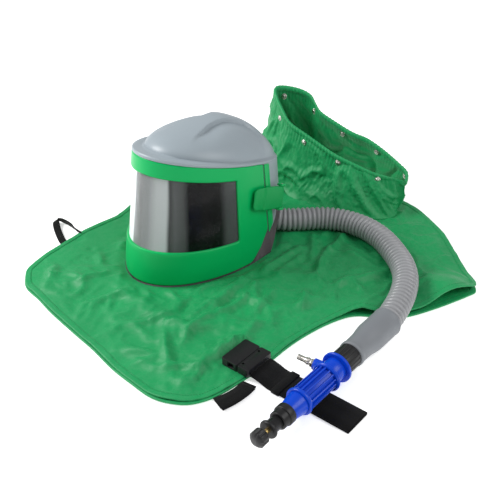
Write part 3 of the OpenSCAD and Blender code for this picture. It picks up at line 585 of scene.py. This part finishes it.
FRONT_ANGLES = [-1.0] + [2.5 * i for i in range(73)] + [181.0]
REAR_ANGLES = [188 + i * 164 / 72 for i in range(73)]


def shell_rear(v, d):
    return [seam_point(-1, v, d, SEAM_Y + 0.4)] + [rear_point(t, v, d) for t in REAR_ANGLES[2:-2]] + [
        seam_point(1, v, d, SEAM_Y + 0.4)]


def shell_row(v, d):
    return [inner_front(t, v, 8.4 + d) for t in FRONT_ANGLES] + shell_rear(v, d)


def brim_row(v, d):
    return [seam_point(1, v, d, SEAM_Y)] + [front_point(t, v, d) for t in FRONT_ANGLES[1:-1]] + [
        seam_point(-1, v, d, SEAM_Y)] + shell_rear(v, d)


def dome_row(rise, d, raised=True):
    angles = [-4.0] + FRONT_ANGLES[1:-1] + [184.0] + [186.0] + REAR_ANGLES[2:-2] + [354.0]
    out = []
    for t in angles:
        p = dome_point(t, rise, d)
        out.append(dome_point(t, rise, d - relief(*p)) if raised else p)
    return out


def helmet_shell():
    """Shell in one skin: wall set back behind the door, brim over it, dome with crest and sunken cheeks."""
    outer = [shell_row(v, 0) for v in (0.02, 0.2, 0.4, 0.6, 0.8, 0.93, 0.975, 0.985)]
    brim = ((0.9935, 0.5), (1.0, 0.0), (1.008, 0.0), (1.014, 0.5), (1.018, 1.6))
    outer += [brim_row(v, d) for v, d in brim]
    lip = brim_row(1.019, 3.2)
    foot = dome_row(6.5, 0)
    outer += [[mix(a, b, k) for a, b in zip(lip, foot)] for k in (0.15, 0.4, 0.7, 0.9)]
    outer += [dome_row(rise, 0) for rise in (7.2, 8.4, 10, 12, 14, 16, 18, 20, 22, 24)]
    outer += [dome_row(26 + i * 61 / 60, 0) for i in range(61)]
    outer += [dome_row(88.5, 0)]
    inner = [shell_row(v, WALL) for v in (0.02, 0.3, 0.6, 0.985)] + [shell_row(v, WALL) for v in (0.99, 1.0)]
    inner += [dome_row(rise, WALL, False) for rise in (12, 20, 30, 40, 50, 60, 70, 80, 87)]
    rows = inner[::-1] + outer
    shell = grid_piece("shell_skin", rows, closed=True, caps=True)
    opening = rounded_outline([(-84, 46), (66, 46), (66, 188), (-84, 188)], 22, 8)
    face = prism("face_cut", opening, 1, -240, 0)
    edge = spline([(23.5, 50), (35, 55), (46, 62), (55, 72), (61, 83), (76, 89), (120, 91), (240, 92)], 6)
    below = prism("rear_cut", [(23.5, -30)] + [tuple(p) for p in edge] + [(240, -30)], 0, -200, 200)
    subtract(shell, face, below)
    sharpen(shell, 40)
    return settle(shell, "respirator", "shell_plastic", "helmet_shell", "crest")


helmet_shell()


# ---------- Visor door ----------
WINDOW = (16, 164, 0.28, 0.868)  # its sides in w, and its sill and head in v
WALL_UNITS = np.array((2.7, 200.0))  # millimetres in one degree of w and in the whole height v


def loop_between(corners, radii, counts):
    """A closed outline in (w, v), rounded at its corners, with counts[i] points on side i."""
    real = [np.array(c, float) * WALL_UNITS for c in corners]
    out, n = [], len(corners)
    for i in range(n):
        a, b = real[i], real[(i + 1) % n]
        for s in range(counts[i]):
            out.append(mix(a, b, s / counts[i]))
    line = np.array(out)
    starts = np.concatenate([[0], np.cumsum(counts)])
    for c in range(n):
        corner, r = real[c], radii[c]
        for i in range(-60, 60):
            j = (starts[c] + i) % len(line)
            gap = norm(np.array(out[j]) - corner)
            if gap < r:
                before = corner + (real[c - 1] - corner) / norm(real[c - 1] - corner) * r
                after = corner + (real[(c + 1) % n] - corner) / norm(real[(c + 1) % n] - corner) * r
                k = 0.5 + 0.5 * (gap / r) * (1 if i > 0 else -1)
                line[j] = before * (1 - k) ** 2 + corner * 2 * k * (1 - k) + after * k * k
    return line / WALL_UNITS


def visor_door():
    """Door frame as a ring of cross-sections from the window's edge to the door's edge, front and back."""
    w0, w1, v0, v1 = WINDOW
    inner = loop_between([(w1, v0), (w0, v0), (w0, v1), (w1, v1)], [4, 4, 3, 3], [110, 60, 110, 60])
    bottom = loop_between([(172.8, 0), (7.2, 0), (-10, 0.276), (-10, 0.99), (190, 0.99), (190, 0.276)],
                          [5, 5, 3, 4, 4, 3], [110, 24, 36, 110, 36, 24])
    rows = []
    for offset, d in ((0, 4), (0, 1.9), (0.5, 0.9), (1.6, 0.3), (2.8, 0)):
        rows.append((offset, None, d))
    rows += [(None, k, 0) for k in (0.12, 0.25, 0.4, 0.55, 0.7, 0.82, 0.92)]
    rows += [(None, -2.2, 0), (None, -0.9, 0.25), (None, -0.2, 0.9), (None, 0.0, 1.8), (None, 0.0, 4)]
    rows += [(None, k, 4) for k in (0.8, 0.6, 0.4, 0.2)]
    skin = []
    for offset, k, d in rows:
        row = []
        for a, b in zip(inner, bottom):
            gap = norm((b - a) * WALL_UNITS)
            share = offset / gap if offset is not None else k if k > 0 else 1 + k / gap
            w, v = mix(a, b, share)
            under = max(0.0, 0.13 - v) / 0.13
            row.append(wall_point(w, v, d + 1.6 * under))
        skin.append(row)
    door = grid_piece("door_frame", skin, closed=True, ring=True)
    sharpen(door, 50)
    return settle(door, "door", "door_plastic", "visor_door")


visor_door()


def curved_pane(name, w0, w1, v0, v1, d0, d1):
    """A pane that follows the door, between two depths."""
    front = [[wall_point(mix(w0, w1, i / 90), v, d0) for i in range(91)] for v in np.linspace(v0, v1, 12)]
    back = [[wall_point(mix(w0, w1, i / 90), v, d1) for i in range(91)] for v in np.linspace(v0, v1, 12)]
    rings = [f + b[::-1] for f, b in zip(front, back)]
    return sharpen(grid_piece(name, rings, closed=True, caps=True), 40)


def lenses():
    w0, w1, v0, v1 = WINDOW
    # The lens's colour is painted reflection bands
    lens = curved_pane("painted_reflection_lens", w0 - 1.6, w1 + 1.6, v0 - 0.02, v1 + 0.02, 4.25, 6.2)
    settle(lens, "door", "lens_dark", "lens")
    film = curved_pane("tear_off_film", w0 + 0.6, w1 - 0.4, v0 + 0.004, v1 - 0.004, 3.3, 3.8)
    settle(film, "door", "lens_clear", "tear_off_lens")
    tab = [(0.5, 3.6), (0.505, -1.5), (0.52, -3.6), (0.57, -3.6), (0.585, -1.5), (0.59, 3.6)]
    rings = [[front_point(w, v, d) for v, d in tab] for w in (160.0, 160.9, 162.0)]
    tab = grid_piece("tear_off_tab", rings, closed=True, caps=True)
    settle(tab, "door", "lens_clear", material=clear_film("film_tab", 0.55))


lenses()


# ---------- Latch ----------
def on_side(x, y, z):
    """From the latch's own frame, +X out of the side wall and +Y to the rear, to the row frame."""
    lean, tilt = radians(-6), radians(-17)
    x, z = x * cos(lean) + z * sin(lean), -x * sin(lean) + z * cos(lean)
    y, z = y * cos(tilt) - z * sin(tilt), y * sin(tilt) + z * cos(tilt)
    return np.array((115.2 + x, 20 + y, 122 + z))


def pull_latch():
    """Rubber pull latch: thin rounded finger end, a step up to the wide rear half, and its barrel."""
    # distance along, underside, top face, half width
    stations = [(-39.2, 1.9, 2.4, 11), (-38.8, 1.5, 3.6, 13.5), (-37.5, 1.4, 4.6, 16), (-34, 1.4, 5.2, 18.6),
                (-28, 1.4, 5.2, 19.6), (-18, 1.4, 4.8, 20), (-13.4, 1.4, 4.5, 20), (-12.2, 1.4, 5.0, 20.2),
                (-10.8, 1.4, 6.7, 20.8), (-8, 1.4, 7.0, 21), (8, 1.4, 7.0, 21), (24, 1.4, 7.2, 20.6),
                (32, 1.4, 8.6, 20), (36, 1.4, 9.4, 20), (39, 1.6, 9.5, 20), (41.2, 2.6, 8.6, 20),
                (42.4, 4.2, 6.8, 19.6)]
    rows = []
    for y, low, high, half in stations:
        r = min(1.6, (high - low) / 2.2)
        corners = [(low, -half), (high, -half), (high, half), (low, half)]
        rows.append([on_side(x, y, z) for x, z in rounded_outline(corners, r, 4)])
    latch = grid_piece("latch_pull", rows, closed=True, caps=True)
    sharpen(latch, 55)
    return settle(latch, "latch_arm", "latch_rubber", "latch")


pull_latch()

# ---------- Cape ----------
# Outline of the laid front panel, front hem first
CAPE_CORNERS = [(-171, -313), (-143, -331), (-99, -339), (-49, -350), (27, -362), (75, -369), (135, -381),
                (184, -386), (222, -388), (250, -381), (276, -365), (292, -341), (300, -314), (304, -290),
                (310, -235), (311, -165), (318, -110), (332, -60), (352, -28), (400, 2), (432, 50),
                (468, 140), (470, 166), (440, 196), (392, 247), (330, 305), (265, 345), (225, 362),
                (100, 390), (0, 390), (-90, 372), (-150, 330), (-225, 268), (-286, 214), (-312, 172),
                (-302, 128), (-262, 62), (-228, 10), (-209, -50), (-207, -78), (-212, -147), (-207, -201),
                (-199, -255), (-188, -294)]
CAPE_EDGE = resample(spline(CAPE_CORNERS, 10, True), 4.0, True)
NECK, NECK_REACH = (48, 298), (180, 70)
NECK_HOLE = [(NECK[0] + NECK_REACH[0] * cos(a), NECK[1] + NECK_REACH[1] * sin(a))
             for a in (radians(3 * i) for i in range(120))]
CLOTH = 0.0009  # thickness in metres
HEM_WIDTH = 9.6
FRONT_PANEL = (4.2, 1.0, 11.0)  # height it lies at, share of the folds, seed
BACK_PANEL = (2.3, 0.12, 3.0)
BACK_SHIFT = (3, -3.5)
# Folds of the front panel: line, half width, height
FOLDS = [
    ([(142, -42), (148, -142), (150, -229)], 15, 6.5),
    ([(175, -71), (181, -149), (170, -239), (182, -270)], 12, 6), ([(104, -148), (130, -230)], 12, -3),
    ([(123, -262), (161, -237)], 11, 5), ([(138, -271), (166, -298), (201, -331)], 14, 6.5),
    ([(82, -296), (102, -269), (122, -236)], 12, 5), ([(107, -361), (141, -338), (185, -321)], 12, 4.5),
    ([(6, -348), (-17, -306), (-7, -269)], 12, 4.5), ([(4, -265), (30, -299)], 10, 3.5),
    ([(-7, -269), (4, -251), (29, -245)], 9, 3.5),
    ([(-106, -320), (-138, -278), (-157, -234), (-168, -180), (-185, -119)], 17, 6.5),
    ([(-153, -237), (-147, -195), (-115, -189)], 10, 4),
    ([(-75, -277), (-69, -247), (-56, -211)], 12, 4.5), ([(201, -340), (219, -316), (252, -296)], 11, 5),
    ([(148, -379), (173, -336), (195, -331)], 9, 3), ([(167, -78), (211, -124)], 11, 5),
    ([(220, -149), (214, -114), (205, -67)], 12, 5), ([(169, -221), (156, -148), (154, -73)], 9, 3.5),
    ([(276, -90), (248, -31)], 14, 5.5), ([(299, 39), (329, 21)], 14, 6),
    ([(237, -254), (250, -204), (241, -156)], 14, 6), ([(144, 135), (206, 43)], 15, 6),
    ([(157, -49), (152, 26), (163, 84)], 13, 5.5), ([(199, 166), (208, 79), (238, 17)], 14, 6),
    ([(229, 110), (284, 108)], 13, 5), ([(275, 11), (308, 69), (332, 114)], 16, 7),
    ([(244, 350), (329, 302)], 14, 6), ([(320, 250), (342, 297)], 13, 5)]
# Places where the front panel's edge stands off the back panel: x, y, reach, height
LIFTS = [(350, -15, 34, 13), (413, 22, 22, 5), (442, 112, 54, 26), (-205, -110, 40, 3)]


def within(outline, points):
    """Which of the points lie inside a closed outline."""
    ring, count = np.array(outline, float), np.zeros(len(points), int)
    for a, b in zip(ring, np.roll(ring, -1, axis=0)):
        spans = (a[1] > points[:, 1]) != (b[1] > points[:, 1])
        count += spans & (points[:, 0] < a[0] + (points[:, 1] - a[1]) * (b[0] - a[0]) / (b[1] - a[1] + 1e-9))
    return count % 2 == 1


def line_distance(line, points):
    """Distance of points from a line, and how far along it, as a share, the nearest place is."""
    line = np.array(line, float)
    best, along = np.full(len(points), 1e9), np.zeros(len(points))
    for i, (a, b) in enumerate(zip(line, line[1:])):
        run = b - a
        k = np.clip(((points - a) @ run) / (run @ run), 0, 1)
        gap = norm(points - a - k[:, None] * run, axis=1)
        near = gap < best
        best[near], along[near] = gap[near], (i + k[near]) / (len(line) - 1)
    return best, along


def crumple(x, y, seed, sizes):
    """Ridged, warped noise: sharp fold lines with smooth faces between them."""
    wx = x + 26 * noise.noise(Vector((x / 90, y / 90, seed + 7)))
    wy = y + 26 * noise.noise(Vector((x / 90, y / 90, seed + 19)))
    total = 0
    for reach, height in sizes:
        value = noise.noise(Vector((wx / reach, wy / reach, seed)))
        total += height * (1 - min(1.0, abs(value) * 3.2)) ** 1.5
    return total


def helmet_footprint(points):
    """Above 1 outside the helmet's lower edge, below 1 under it."""
    reach = np.where(points[:, 1] < 0, 203, 122)
    return np.hypot(points[:, 0] / 126, points[:, 1] / reach)


TUBE_LINE = np.array(tube_line)[::4]
BELT_Y = -245


def panel_height(points, base, share, seed):
    """Height of a laid panel's top at points, kept under helmet, swung door, tube and buckle."""
    z = np.array([share * crumple(x, y, seed, ((125, 7.0), (58, 5.6), (27, 2.3))) for x, y in points])
    for line, width, height in FOLDS:
        gap, along = line_distance(spline(line, 6), points)
        taper = np.sin(np.pi * np.clip(along, 0.02, 0.98)) ** 0.5
        z += share * 1.7 * height * taper * np.clip(1 - gap / width, 0, 1) ** 1.3
    inset = np.concatenate([norm(part[:, None, :] - CAPE_EDGE[None, ::2], axis=2).min(axis=1)
                            for part in np.array_split(points, 40)])
    z = base + z * (0.22 + 0.78 * np.clip((inset - 6) / 42, 0, 1))
    for x, y, reach, height in LIFTS:
        gap = (points[:, 0] - x) ** 2 + (points[:, 1] - y) ** 2
        z += share * height * np.exp(-gap / reach ** 2) * (base > 3)
    x, y = points[:, 0], points[:, 1]
    swept = (np.clip((300 - np.hypot(x - HINGE[0], y - HINGE[1])) / 22, 0, 1)
             * np.clip((-105 - x) / 25, 0, 1) * np.clip((70 - y) / 30, 0, 1))
    pressed = base + 2.7 * np.tanh((z - base) / 2.7)
    z = np.where(z > base, mix(z, pressed, swept), z)
    under = np.clip((helmet_footprint(points) - 1.0) / 0.1, 0, 1)
    z = np.where(z > 5.5, 5.5 + (z - 5.5) * under, z)
    buckle = (np.abs(points[:, 1] - BELT_Y) < 34) & (points[:, 0] > 250)
    z = np.where(buckle, np.minimum(z, 5.5), z)
    gap, _ = line_distance(TUBE_LINE[:, :2], points)
    near = gap < 24
    lift = np.full(len(points), 99.0)
    if near.any():
        far = norm(points[near][:, None, :] - TUBE_LINE[None, :, :2], axis=2)
        centre = TUBE_LINE[far.argmin(axis=1), 2]
        lift[near] = centre - np.sqrt(np.maximum(0, 23.2 ** 2 - gap[near] ** 2)) - 0.4
    return np.maximum(np.minimum(z, lift), base - 2.4)


def laid_panel(name, layer, shift, replaced):
    """A laid cloth panel: a triangle mesh inside the outline, raised into folds."""
    base, share, seed = layer
    pitch, move = (4.6 if share > 0.5 else 8.0), np.array(shift, float)
    edge = CAPE_EDGE + move
    low, high = edge.min(axis=0), edge.max(axis=0)
    ys = np.arange(low[1], high[1], pitch * 0.866)
    grid = np.array([(x + (pitch / 2 if j % 2 else 0), y) for j, y in enumerate(ys)
                     for x in np.arange(low[0], high[0], pitch)])
    grid = grid[within(edge, grid)]
    nearest = np.concatenate([norm(part[:, None, :] - edge[None, ::2], axis=2).min(axis=1)
                              for part in np.array_split(grid, 40)])
    grid = grid[nearest > 3.2]
    flat = np.vstack([edge, grid])
    verts, _, faces, *_ = delaunay_2d_cdt([Vector(p) for p in flat], [], [], 0, 0.001)
    flat = np.array([tuple(v) for v in verts])
    centres = np.array([flat[list(f)].mean(axis=0) for f in faces])
    keep = within(edge, centres) & ~within(NECK_HOLE, centres - (move if share < 0.5 else 0))
    faces = [f for f, k in zip(faces, keep) if k]
    z = panel_height(flat, base, share, seed)
    panel = mesh_piece(name, np.column_stack([flat, z]), faces)
    work = bmesh.new()
    work.from_mesh(panel.data)
    bmesh.ops.delete(work, geom=[v for v in work.verts if not v.link_faces], context="VERTS")
    bmesh.ops.recalc_face_normals(work, faces=work.faces)
    if sum(f.normal.z for f in work.faces) < 0:
        bmesh.ops.reverse_faces(work, faces=work.faces)
    work.to_mesh(panel.data)
    work.free()
    add_modifier(panel, "SOLIDIFY", thickness=CLOTH, offset=-1)
    settle(panel, "respirator", "cape_nylon", replaced)
    return panel


def hem(name, layer, shift):
    """Bound edge all round a panel, rolled at its outside, with its row of stitches."""
    base, share, seed = layer
    line = CAPE_EDGE + np.array(shift, float)
    run = np.roll(line, -1, axis=0) - np.roll(line, 1, axis=0)
    run /= norm(run, axis=1)[:, None]
    inward = np.column_stack([-run[:, 1], run[:, 0]])
    section = [(-0.5, -2.2), (-1.3, -1.0), (-1.2, 0.2), (-0.3, 1.0), (1.5, 0.9), (5.0, 0.7), (8.6, 0.9),
               (HEM_WIDTH, 0.5), (HEM_WIDTH, -1.2)]
    offsets = [np.array(panel_height(line + inward * o, base, share, seed)) for o in (0, HEM_WIDTH)]
    rows = []
    for o, dz in section:
        z = mix(offsets[0], offsets[1], min(max(o / HEM_WIDTH, 0), 1)) + dz
        rows.append(np.column_stack([line + inward * o, z]))
    piece = grid_piece(name, [list(r) for r in rows], closed=True, ring=True)
    settle(piece, "respirator", "cape_nylon", *(("cape_hem",) if share > 0.5 else ()))
    if share < 0.5:
        return
    points, faces = [], []
    seam_height = mix(offsets[0], offsets[1], 0.82) + 1.15
    seam = resample(np.column_stack([line + inward * 7.9, seam_height]), 2.1, True)
    stitch = ((0, 1, 5, 4), (2, 3, 4, 5), (0, 4, 3), (1, 2, 5), (0, 3, 2, 1))
    for i in range(0, len(seam) - 1, 2):
        a, b = seam[i], seam[i + 1]
        side = np.cross(b - a, (0, 0, 1))
        side *= 0.32 / max(norm(side), 1e-6)
        start = len(points)
        points += [a - side, b - side, b + side, a + side, a + (0, 0, 0.35), b + (0, 0, 0.35)]
        faces += [tuple(start + k for k in f) for f in stitch]
    stitches = mesh_piece("hem_stitches", points, faces, smooth=False)
    settle(stitches, "respirator", "cape_nylon")


laid_panel("cape_back_panel", BACK_PANEL, BACK_SHIFT, "cape_lower")
laid_panel("cape_front_panel", FRONT_PANEL, (0, 0), "cape_upper")
hem("cape_front_hem", FRONT_PANEL, (0, 0))
hem("cape_back_hem", BACK_PANEL, BACK_SHIFT)

# ---------- Collar ----------
RIM_XY = [(236, 318), (227, 337), (203, 342), (164, 345), (127, 343), (95, 333), (55, 328), (20, 326),
          (0, 334), (-20, 344), (-45, 340), (-75, 322), (-86, 305), (-70, 289), (-40, 272), (-11, 260),
          (34, 262), (70, 264), (102, 267), (141, 277), (179, 288), (209, 303), (228, 313)]
RIM = resample([np.array((x, y, 60 - 0.4 * x + 0.35 * y)) for x, y in spline(RIM_XY, 6, True)], 2.2, True)
RIM_STEP = float(norm(RIM[1] - RIM[0]))
GATHER = 7.4  # width of one gather at the rim
STUDS, STUD_SIDES = 9, 24


def collar_place(i, k):
    """Point of the collar's cloth on its column i, from its foot at k = 0 to the rim at k = 1."""
    top = RIM[i % len(RIM)]
    t = math.atan2((top[1] - 302) / 40, (top[0] - 75) / 160)
    foot = np.array((NECK[0] + (NECK_REACH[0] + 4) * cos(t),
                     NECK[1] + (NECK_REACH[1] + 4) * sin(t), 4.6))
    out = np.array((cos(t) / 157, sin(t) / 60, 0))
    out /= norm(out)
    height = top[2] - foot[2]
    p = np.array((*mix(foot[:2], top[:2], k ** 0.75), mix(foot[2], top[2], k ** 1.15)))
    u, h = i * RIM_STEP, k * height
    belly = sin(pi * min(1.0, k * 1.02)) ** 0.7
    swing = noise.noise(Vector((cos(t) * 2.2, sin(t) * 2.2 + h / 95, 4.0)))
    sweep = noise.noise(Vector((cos(t) * 3.4 + h / 70, sin(t) * 3.4 + h / 52, 9.0)))
    ridge = (1 - min(1.0, abs(sweep) * 3.0)) ** 1.4
    push = belly * (8.5 * ridge - 2.0 + 9 * swing)
    push += 2.4 * belly * crumple(u * cos(t) + h, h * 1.4 + 40 * sin(t), 31.0,
                                  ((38, 1.0), (17, 0.55)))
    gather = sin(2 * pi * u / GATHER + 2.2 * noise.noise(Vector((u / 30, h / 40, 2.0))))
    push += 0.8 * gather * ease((k - 0.6) / 0.4)
    push = max(push, -0.3 * height) * min(1.0, height / 45)
    return p + out * push, out


def neck_collar():
    columns = len(RIM)
    rows = [[collar_place(i, (j / 44) ** 0.9)[0] for i in range(columns)] for j in range(45)]
    collar = grid_piece("neck_collar", rows, closed=True)
    add_modifier(collar, "SOLIDIFY", thickness=CLOTH, offset=0)
    settle(collar, "respirator", "cape_nylon", "collar")
    section = [(-1.6, -9.5), (-2.5, -8.2), (-3.0, -4.5), (-2.6, -1.0), (-0.8, 1.3), (0.9, 1.3),
               (2.6, -1.0), (3.0, -4.5), (2.5, -8.2), (1.6, -9.5)]
    band = []
    for i in range(columns):
        p, out = collar_place(i, 1.0)
        pucker = 0.55 * sin(2 * pi * i * RIM_STEP / GATHER) + 0.5 * noise.noise(Vector((i / 6, 1, 1)))
        band.append([p + out * (a + math.copysign(pucker, a) * (abs(a) > 1)) + np.array((0, 0, b + 0.8))
                     for a, b in section])
    casing = grid_piece("rim_casing", band, closed=True, ring=True)
    settle(casing, "respirator", "cape_nylon", "collar_casing")
    points, faces = [], []
    profile = [(0.2, 6.0), (1.2, 6.2), (1.9, 5.2), (1.7, 3.4), (2.9, 3.0), (3.3, 2.2), (3.4, 0.02)]
    for n in range(STUDS):
        i = round((n + 0.3) * columns / STUDS)
        p, out = collar_place(i, 0.9)
        away = Vector(out if out[1] < 0 else -out).normalized()
        side = away.cross(Vector((0, 0, 1))).normalized()
        up = side.cross(away)
        rings = [range(len(points) + j * STUD_SIDES, len(points) + (j + 1) * STUD_SIDES)
                 for j in range(len(profile))]
        for y, r in profile:
            points += [np.array(Vector(p) + away * y + side * (r * cos(a)) + up * (r * sin(a)))
                       for a in circle(STUD_SIDES)]
        for low, high in zip(rings, rings[1:]):
            faces += [(low[s], low[s + 1 - STUD_SIDES], high[s + 1 - STUD_SIDES], high[s])
                      for s in range(STUD_SIDES)]
        faces += [tuple(rings[0])[::-1], tuple(rings[-1])]
    snaps = outward(mesh_piece("press_studs", points, faces))
    sharpen(snaps, 50)
    settle(snaps, "respirator", "plated_steel", "collar_snaps")


neck_collar()


# ---------- Straps, belt, valve cuff and harness ----------
def sideways(line):
    """The level direction across a line, at each of its points."""
    def across(i):
        run = line[min(i + 1, len(line) - 1)] - line[max(i - 1, 0)]
        side = np.cross((0, 0, 1), run)
        return side / norm(side)
    return across


def web(name, line, across, wide, thick, *replaced):
    settle(ribbon(name, line, across, wide, thick), "respirator", "webbing", *replaced)


def along_y(i):
    return 0, 1, 0


def straps():
    loop = resample(spline([(-200, -144, 3), (-216, -151, 5), (-250, -148, 9), (-276, -149, 9),
                            (-283, -155, 8.4), (-272, -164, 6.5), (-252, -176, 4), (-222, -191, 2.6),
                            (-203, -197, 2.2)], 10), 2.0)
    level = sideways(loop)

    def turn_over(i):
        lean = radians(mix(72, 6, ease((i / len(loop) - 0.38) / 0.2)))
        lean = min(lean, math.asin(min(1.0, (loop[i][2] - 1.2) / 7)))
        return level(i) * cos(lean) + np.array((0, 0, sin(lean)))
    web("strap_loop_web", loop, turn_over, 14, 2.0, "strap_loop")
    end = resample(spline([(320, -278, 1.4), (322, -296, 1.4), (319, -318, 1.4), (311, -340, 1.4)], 8), 2.0)
    back = resample(spline([(324, -284, 3.8), (325, -300, 4.0), (323, -322, 4.2), (317, -343, 3.4)], 8), 2.0)
    web("strap_end_low", end, sideways(end), 26, 2.0, "strap_end")
    web("strap_end_high", back, sideways(back), 25, 1.8)
    out = [(315, 7.2), (322, 7.2), (334, 4.8), (346, 1.6), (356, 1.2), (420, 1.25), (484, 1.2)]
    turn = [(488 + 1.6 * sin(a), 2.6 - 1.4 * cos(a)) for a in np.linspace(0.3, pi - 0.3, 7)]
    home = [(484, 3.9), (420, 4.0), (358, 3.9), (346, 4.5), (334, 7.6), (322, 9.9), (315, 9.9)]
    belt = resample([np.array((x, BELT_Y, z)) for x, z in spline(out + turn + home, 5)], 1.6)
    web("belt_web", belt, along_y, 50, 2.1, "belt_upper", "belt_lower")
    ring = rounded_outline([(-271.8, 0.2), (-218.2, 0.2), (-218.2, 6.4), (-271.8, 6.4)], 2.0, 4)
    rows = []
    for y, z in ring:
        away = np.array((y - BELT_Y, z - 3.3))
        away /= norm(away)
        rows.append([(x, y + away[0] * o, max(z + away[1] * o, 0.05))
                     for x, o in ((356, -0.6), (356.4, 0.6), (369.6, 0.6), (370, -0.6))])
    settle(grid_piece("belt_keeper_web", rows, closed=True, ring=True), "respirator", "webbing",
           "belt_keeper")


straps()


def cuff():
    """Rubber cuff over the tube's end: plain sleeve, taper, neck and flared lip, a bead at its mouth."""
    profile = [(0, 23.6), (0.2, 24.8), (1.4, 25.3), (3.0, 25.2), (4.2, 24.6), (20, 24.7), (50, 24.6),
               (55, 24.3), (62, 23.4), (70, 22.0), (76, 21.3), (84, 20.9), (97, 20.7), (100, 20.9),
               (101, 21.6), (104, 21.7), (106.6, 21.4), (107.6, 20.4), (107.8, 17.5)]
    skin = turned("cuff_skin", profile, lambda y, u, w: (415 + u, -44 - y, 25.6 + w), 72)
    sharpen(skin, 60)
    settle(skin, "respirator", "cuff_rubber", "valve_cuff")


cuff()


MOST_SWELL = 0.0022


def padded_piece(name, node, body, slot):
    """A foam piece with a cloth face, swollen out of its plain block by a short cloth run."""
    obj = nodes[node].copy()
    obj.data = obj.data.copy()
    obj.name = name
    obj.parent = None
    obj.matrix_world = nodes[node].matrix_world.copy()
    bpy.context.scene.collection.objects.link(obj)
    obj.modifiers.clear()
    add_modifier(obj, "REMESH", mode="VOXEL", voxel_size=0.0035)
    apply_modifiers(obj)
    rest = [v.co.copy() for v in obj.data.vertices]
    cloth = add_modifier(obj, "CLOTH")
    cloth.settings.effector_weights.gravity = 0
    cloth.settings.use_pressure = True
    cloth.settings.uniform_pressure_force = 4
    cloth.settings.mass = 0.2
    cloth.settings.tension_stiffness = 20
    cloth.settings.bending_stiffness = 0.5
    cloth.point_cache.frame_start, cloth.point_cache.frame_end = 1, 20
    for step in range(1, 21):
        bpy.context.scene.frame_set(step)
    apply_modifiers(obj)
    bpy.context.scene.frame_set(1)
    for vertex, start in zip(obj.data.vertices, rest):
        move = vertex.co - start
        if move.length > MOST_SWELL:
            vertex.co = start + move.normalized() * MOST_SWELL
    for polygon in obj.data.polygons:
        polygon.use_smooth = True
    add_modifier(obj, "SMOOTH", factor=0.5, iterations=3)
    add_modifier(obj, "SUBSURF", levels=1, render_levels=1)
    settle(obj, body, slot, node)
    return obj


for side_name in ("left", "right"):
    padded_piece(f"cheek_pad_{side_name}", f"pad_{side_name}", "respirator", "padding")
padded_piece("sweatband_pad", "sweatband", "respirator", "padding")
CROWN_R = 86.9
crown = [np.array((CROWN_R * cos(a), -6, 126 + CROWN_R * sin(a)))
         for a in np.linspace(0.02, pi - 0.02, 90)]
web("crown_web", crown, along_y, 18, 1.7, "crown_strap")


# ---------- Floor and light ----------
corners = [(6000 * x, 6000 * y, -0.6) for x, y in ((-1, -1), (1, -1), (1, 1), (-1, 1))]
floor = mesh_piece("floor", corners, [(0, 1, 2, 3)], smooth=False)
card = moulded("floor_card", tone(244, 244, 244), 0.8, 0.0, 0.005, wear=0.0, gloss=0.1)
glow = card.node_tree.nodes["Principled BSDF"].inputs
glow["Emission Color"].default_value = (1, 1, 1, 1)
glow["Emission Strength"].default_value = 0.5
floor.data.materials.append(card)
world = bpy.data.worlds.new("studio")
bpy.context.scene.world = world
world.use_nodes = True
sky = world.node_tree.nodes["Background"].inputs
sky["Color"].default_value = (1, 1, 1, 1)
sky["Strength"].default_value = 0.42


def soft_light(name, place, aim, size, watts):
    light = bpy.data.objects.new(name, bpy.data.lights.new(name, "AREA"))
    light.data.energy = watts
    light.data.size = size
    light.location = place
    light.rotation_euler = (Vector(aim) - Vector(place)).to_track_quat("-Z", "Y").to_euler()
    bpy.context.scene.collection.objects.link(light)


soft_light("key_light", (-1.25, -0.85, 1.35), (0.05, 0.0, 0.05), 0.8, 36)
soft_light("fill_light", (1.6, 0.3, 1.5), (0.1, 0.0, 0.05), 1.2, 17)
bpy.context.scene.view_settings.view_transform = "Standard"
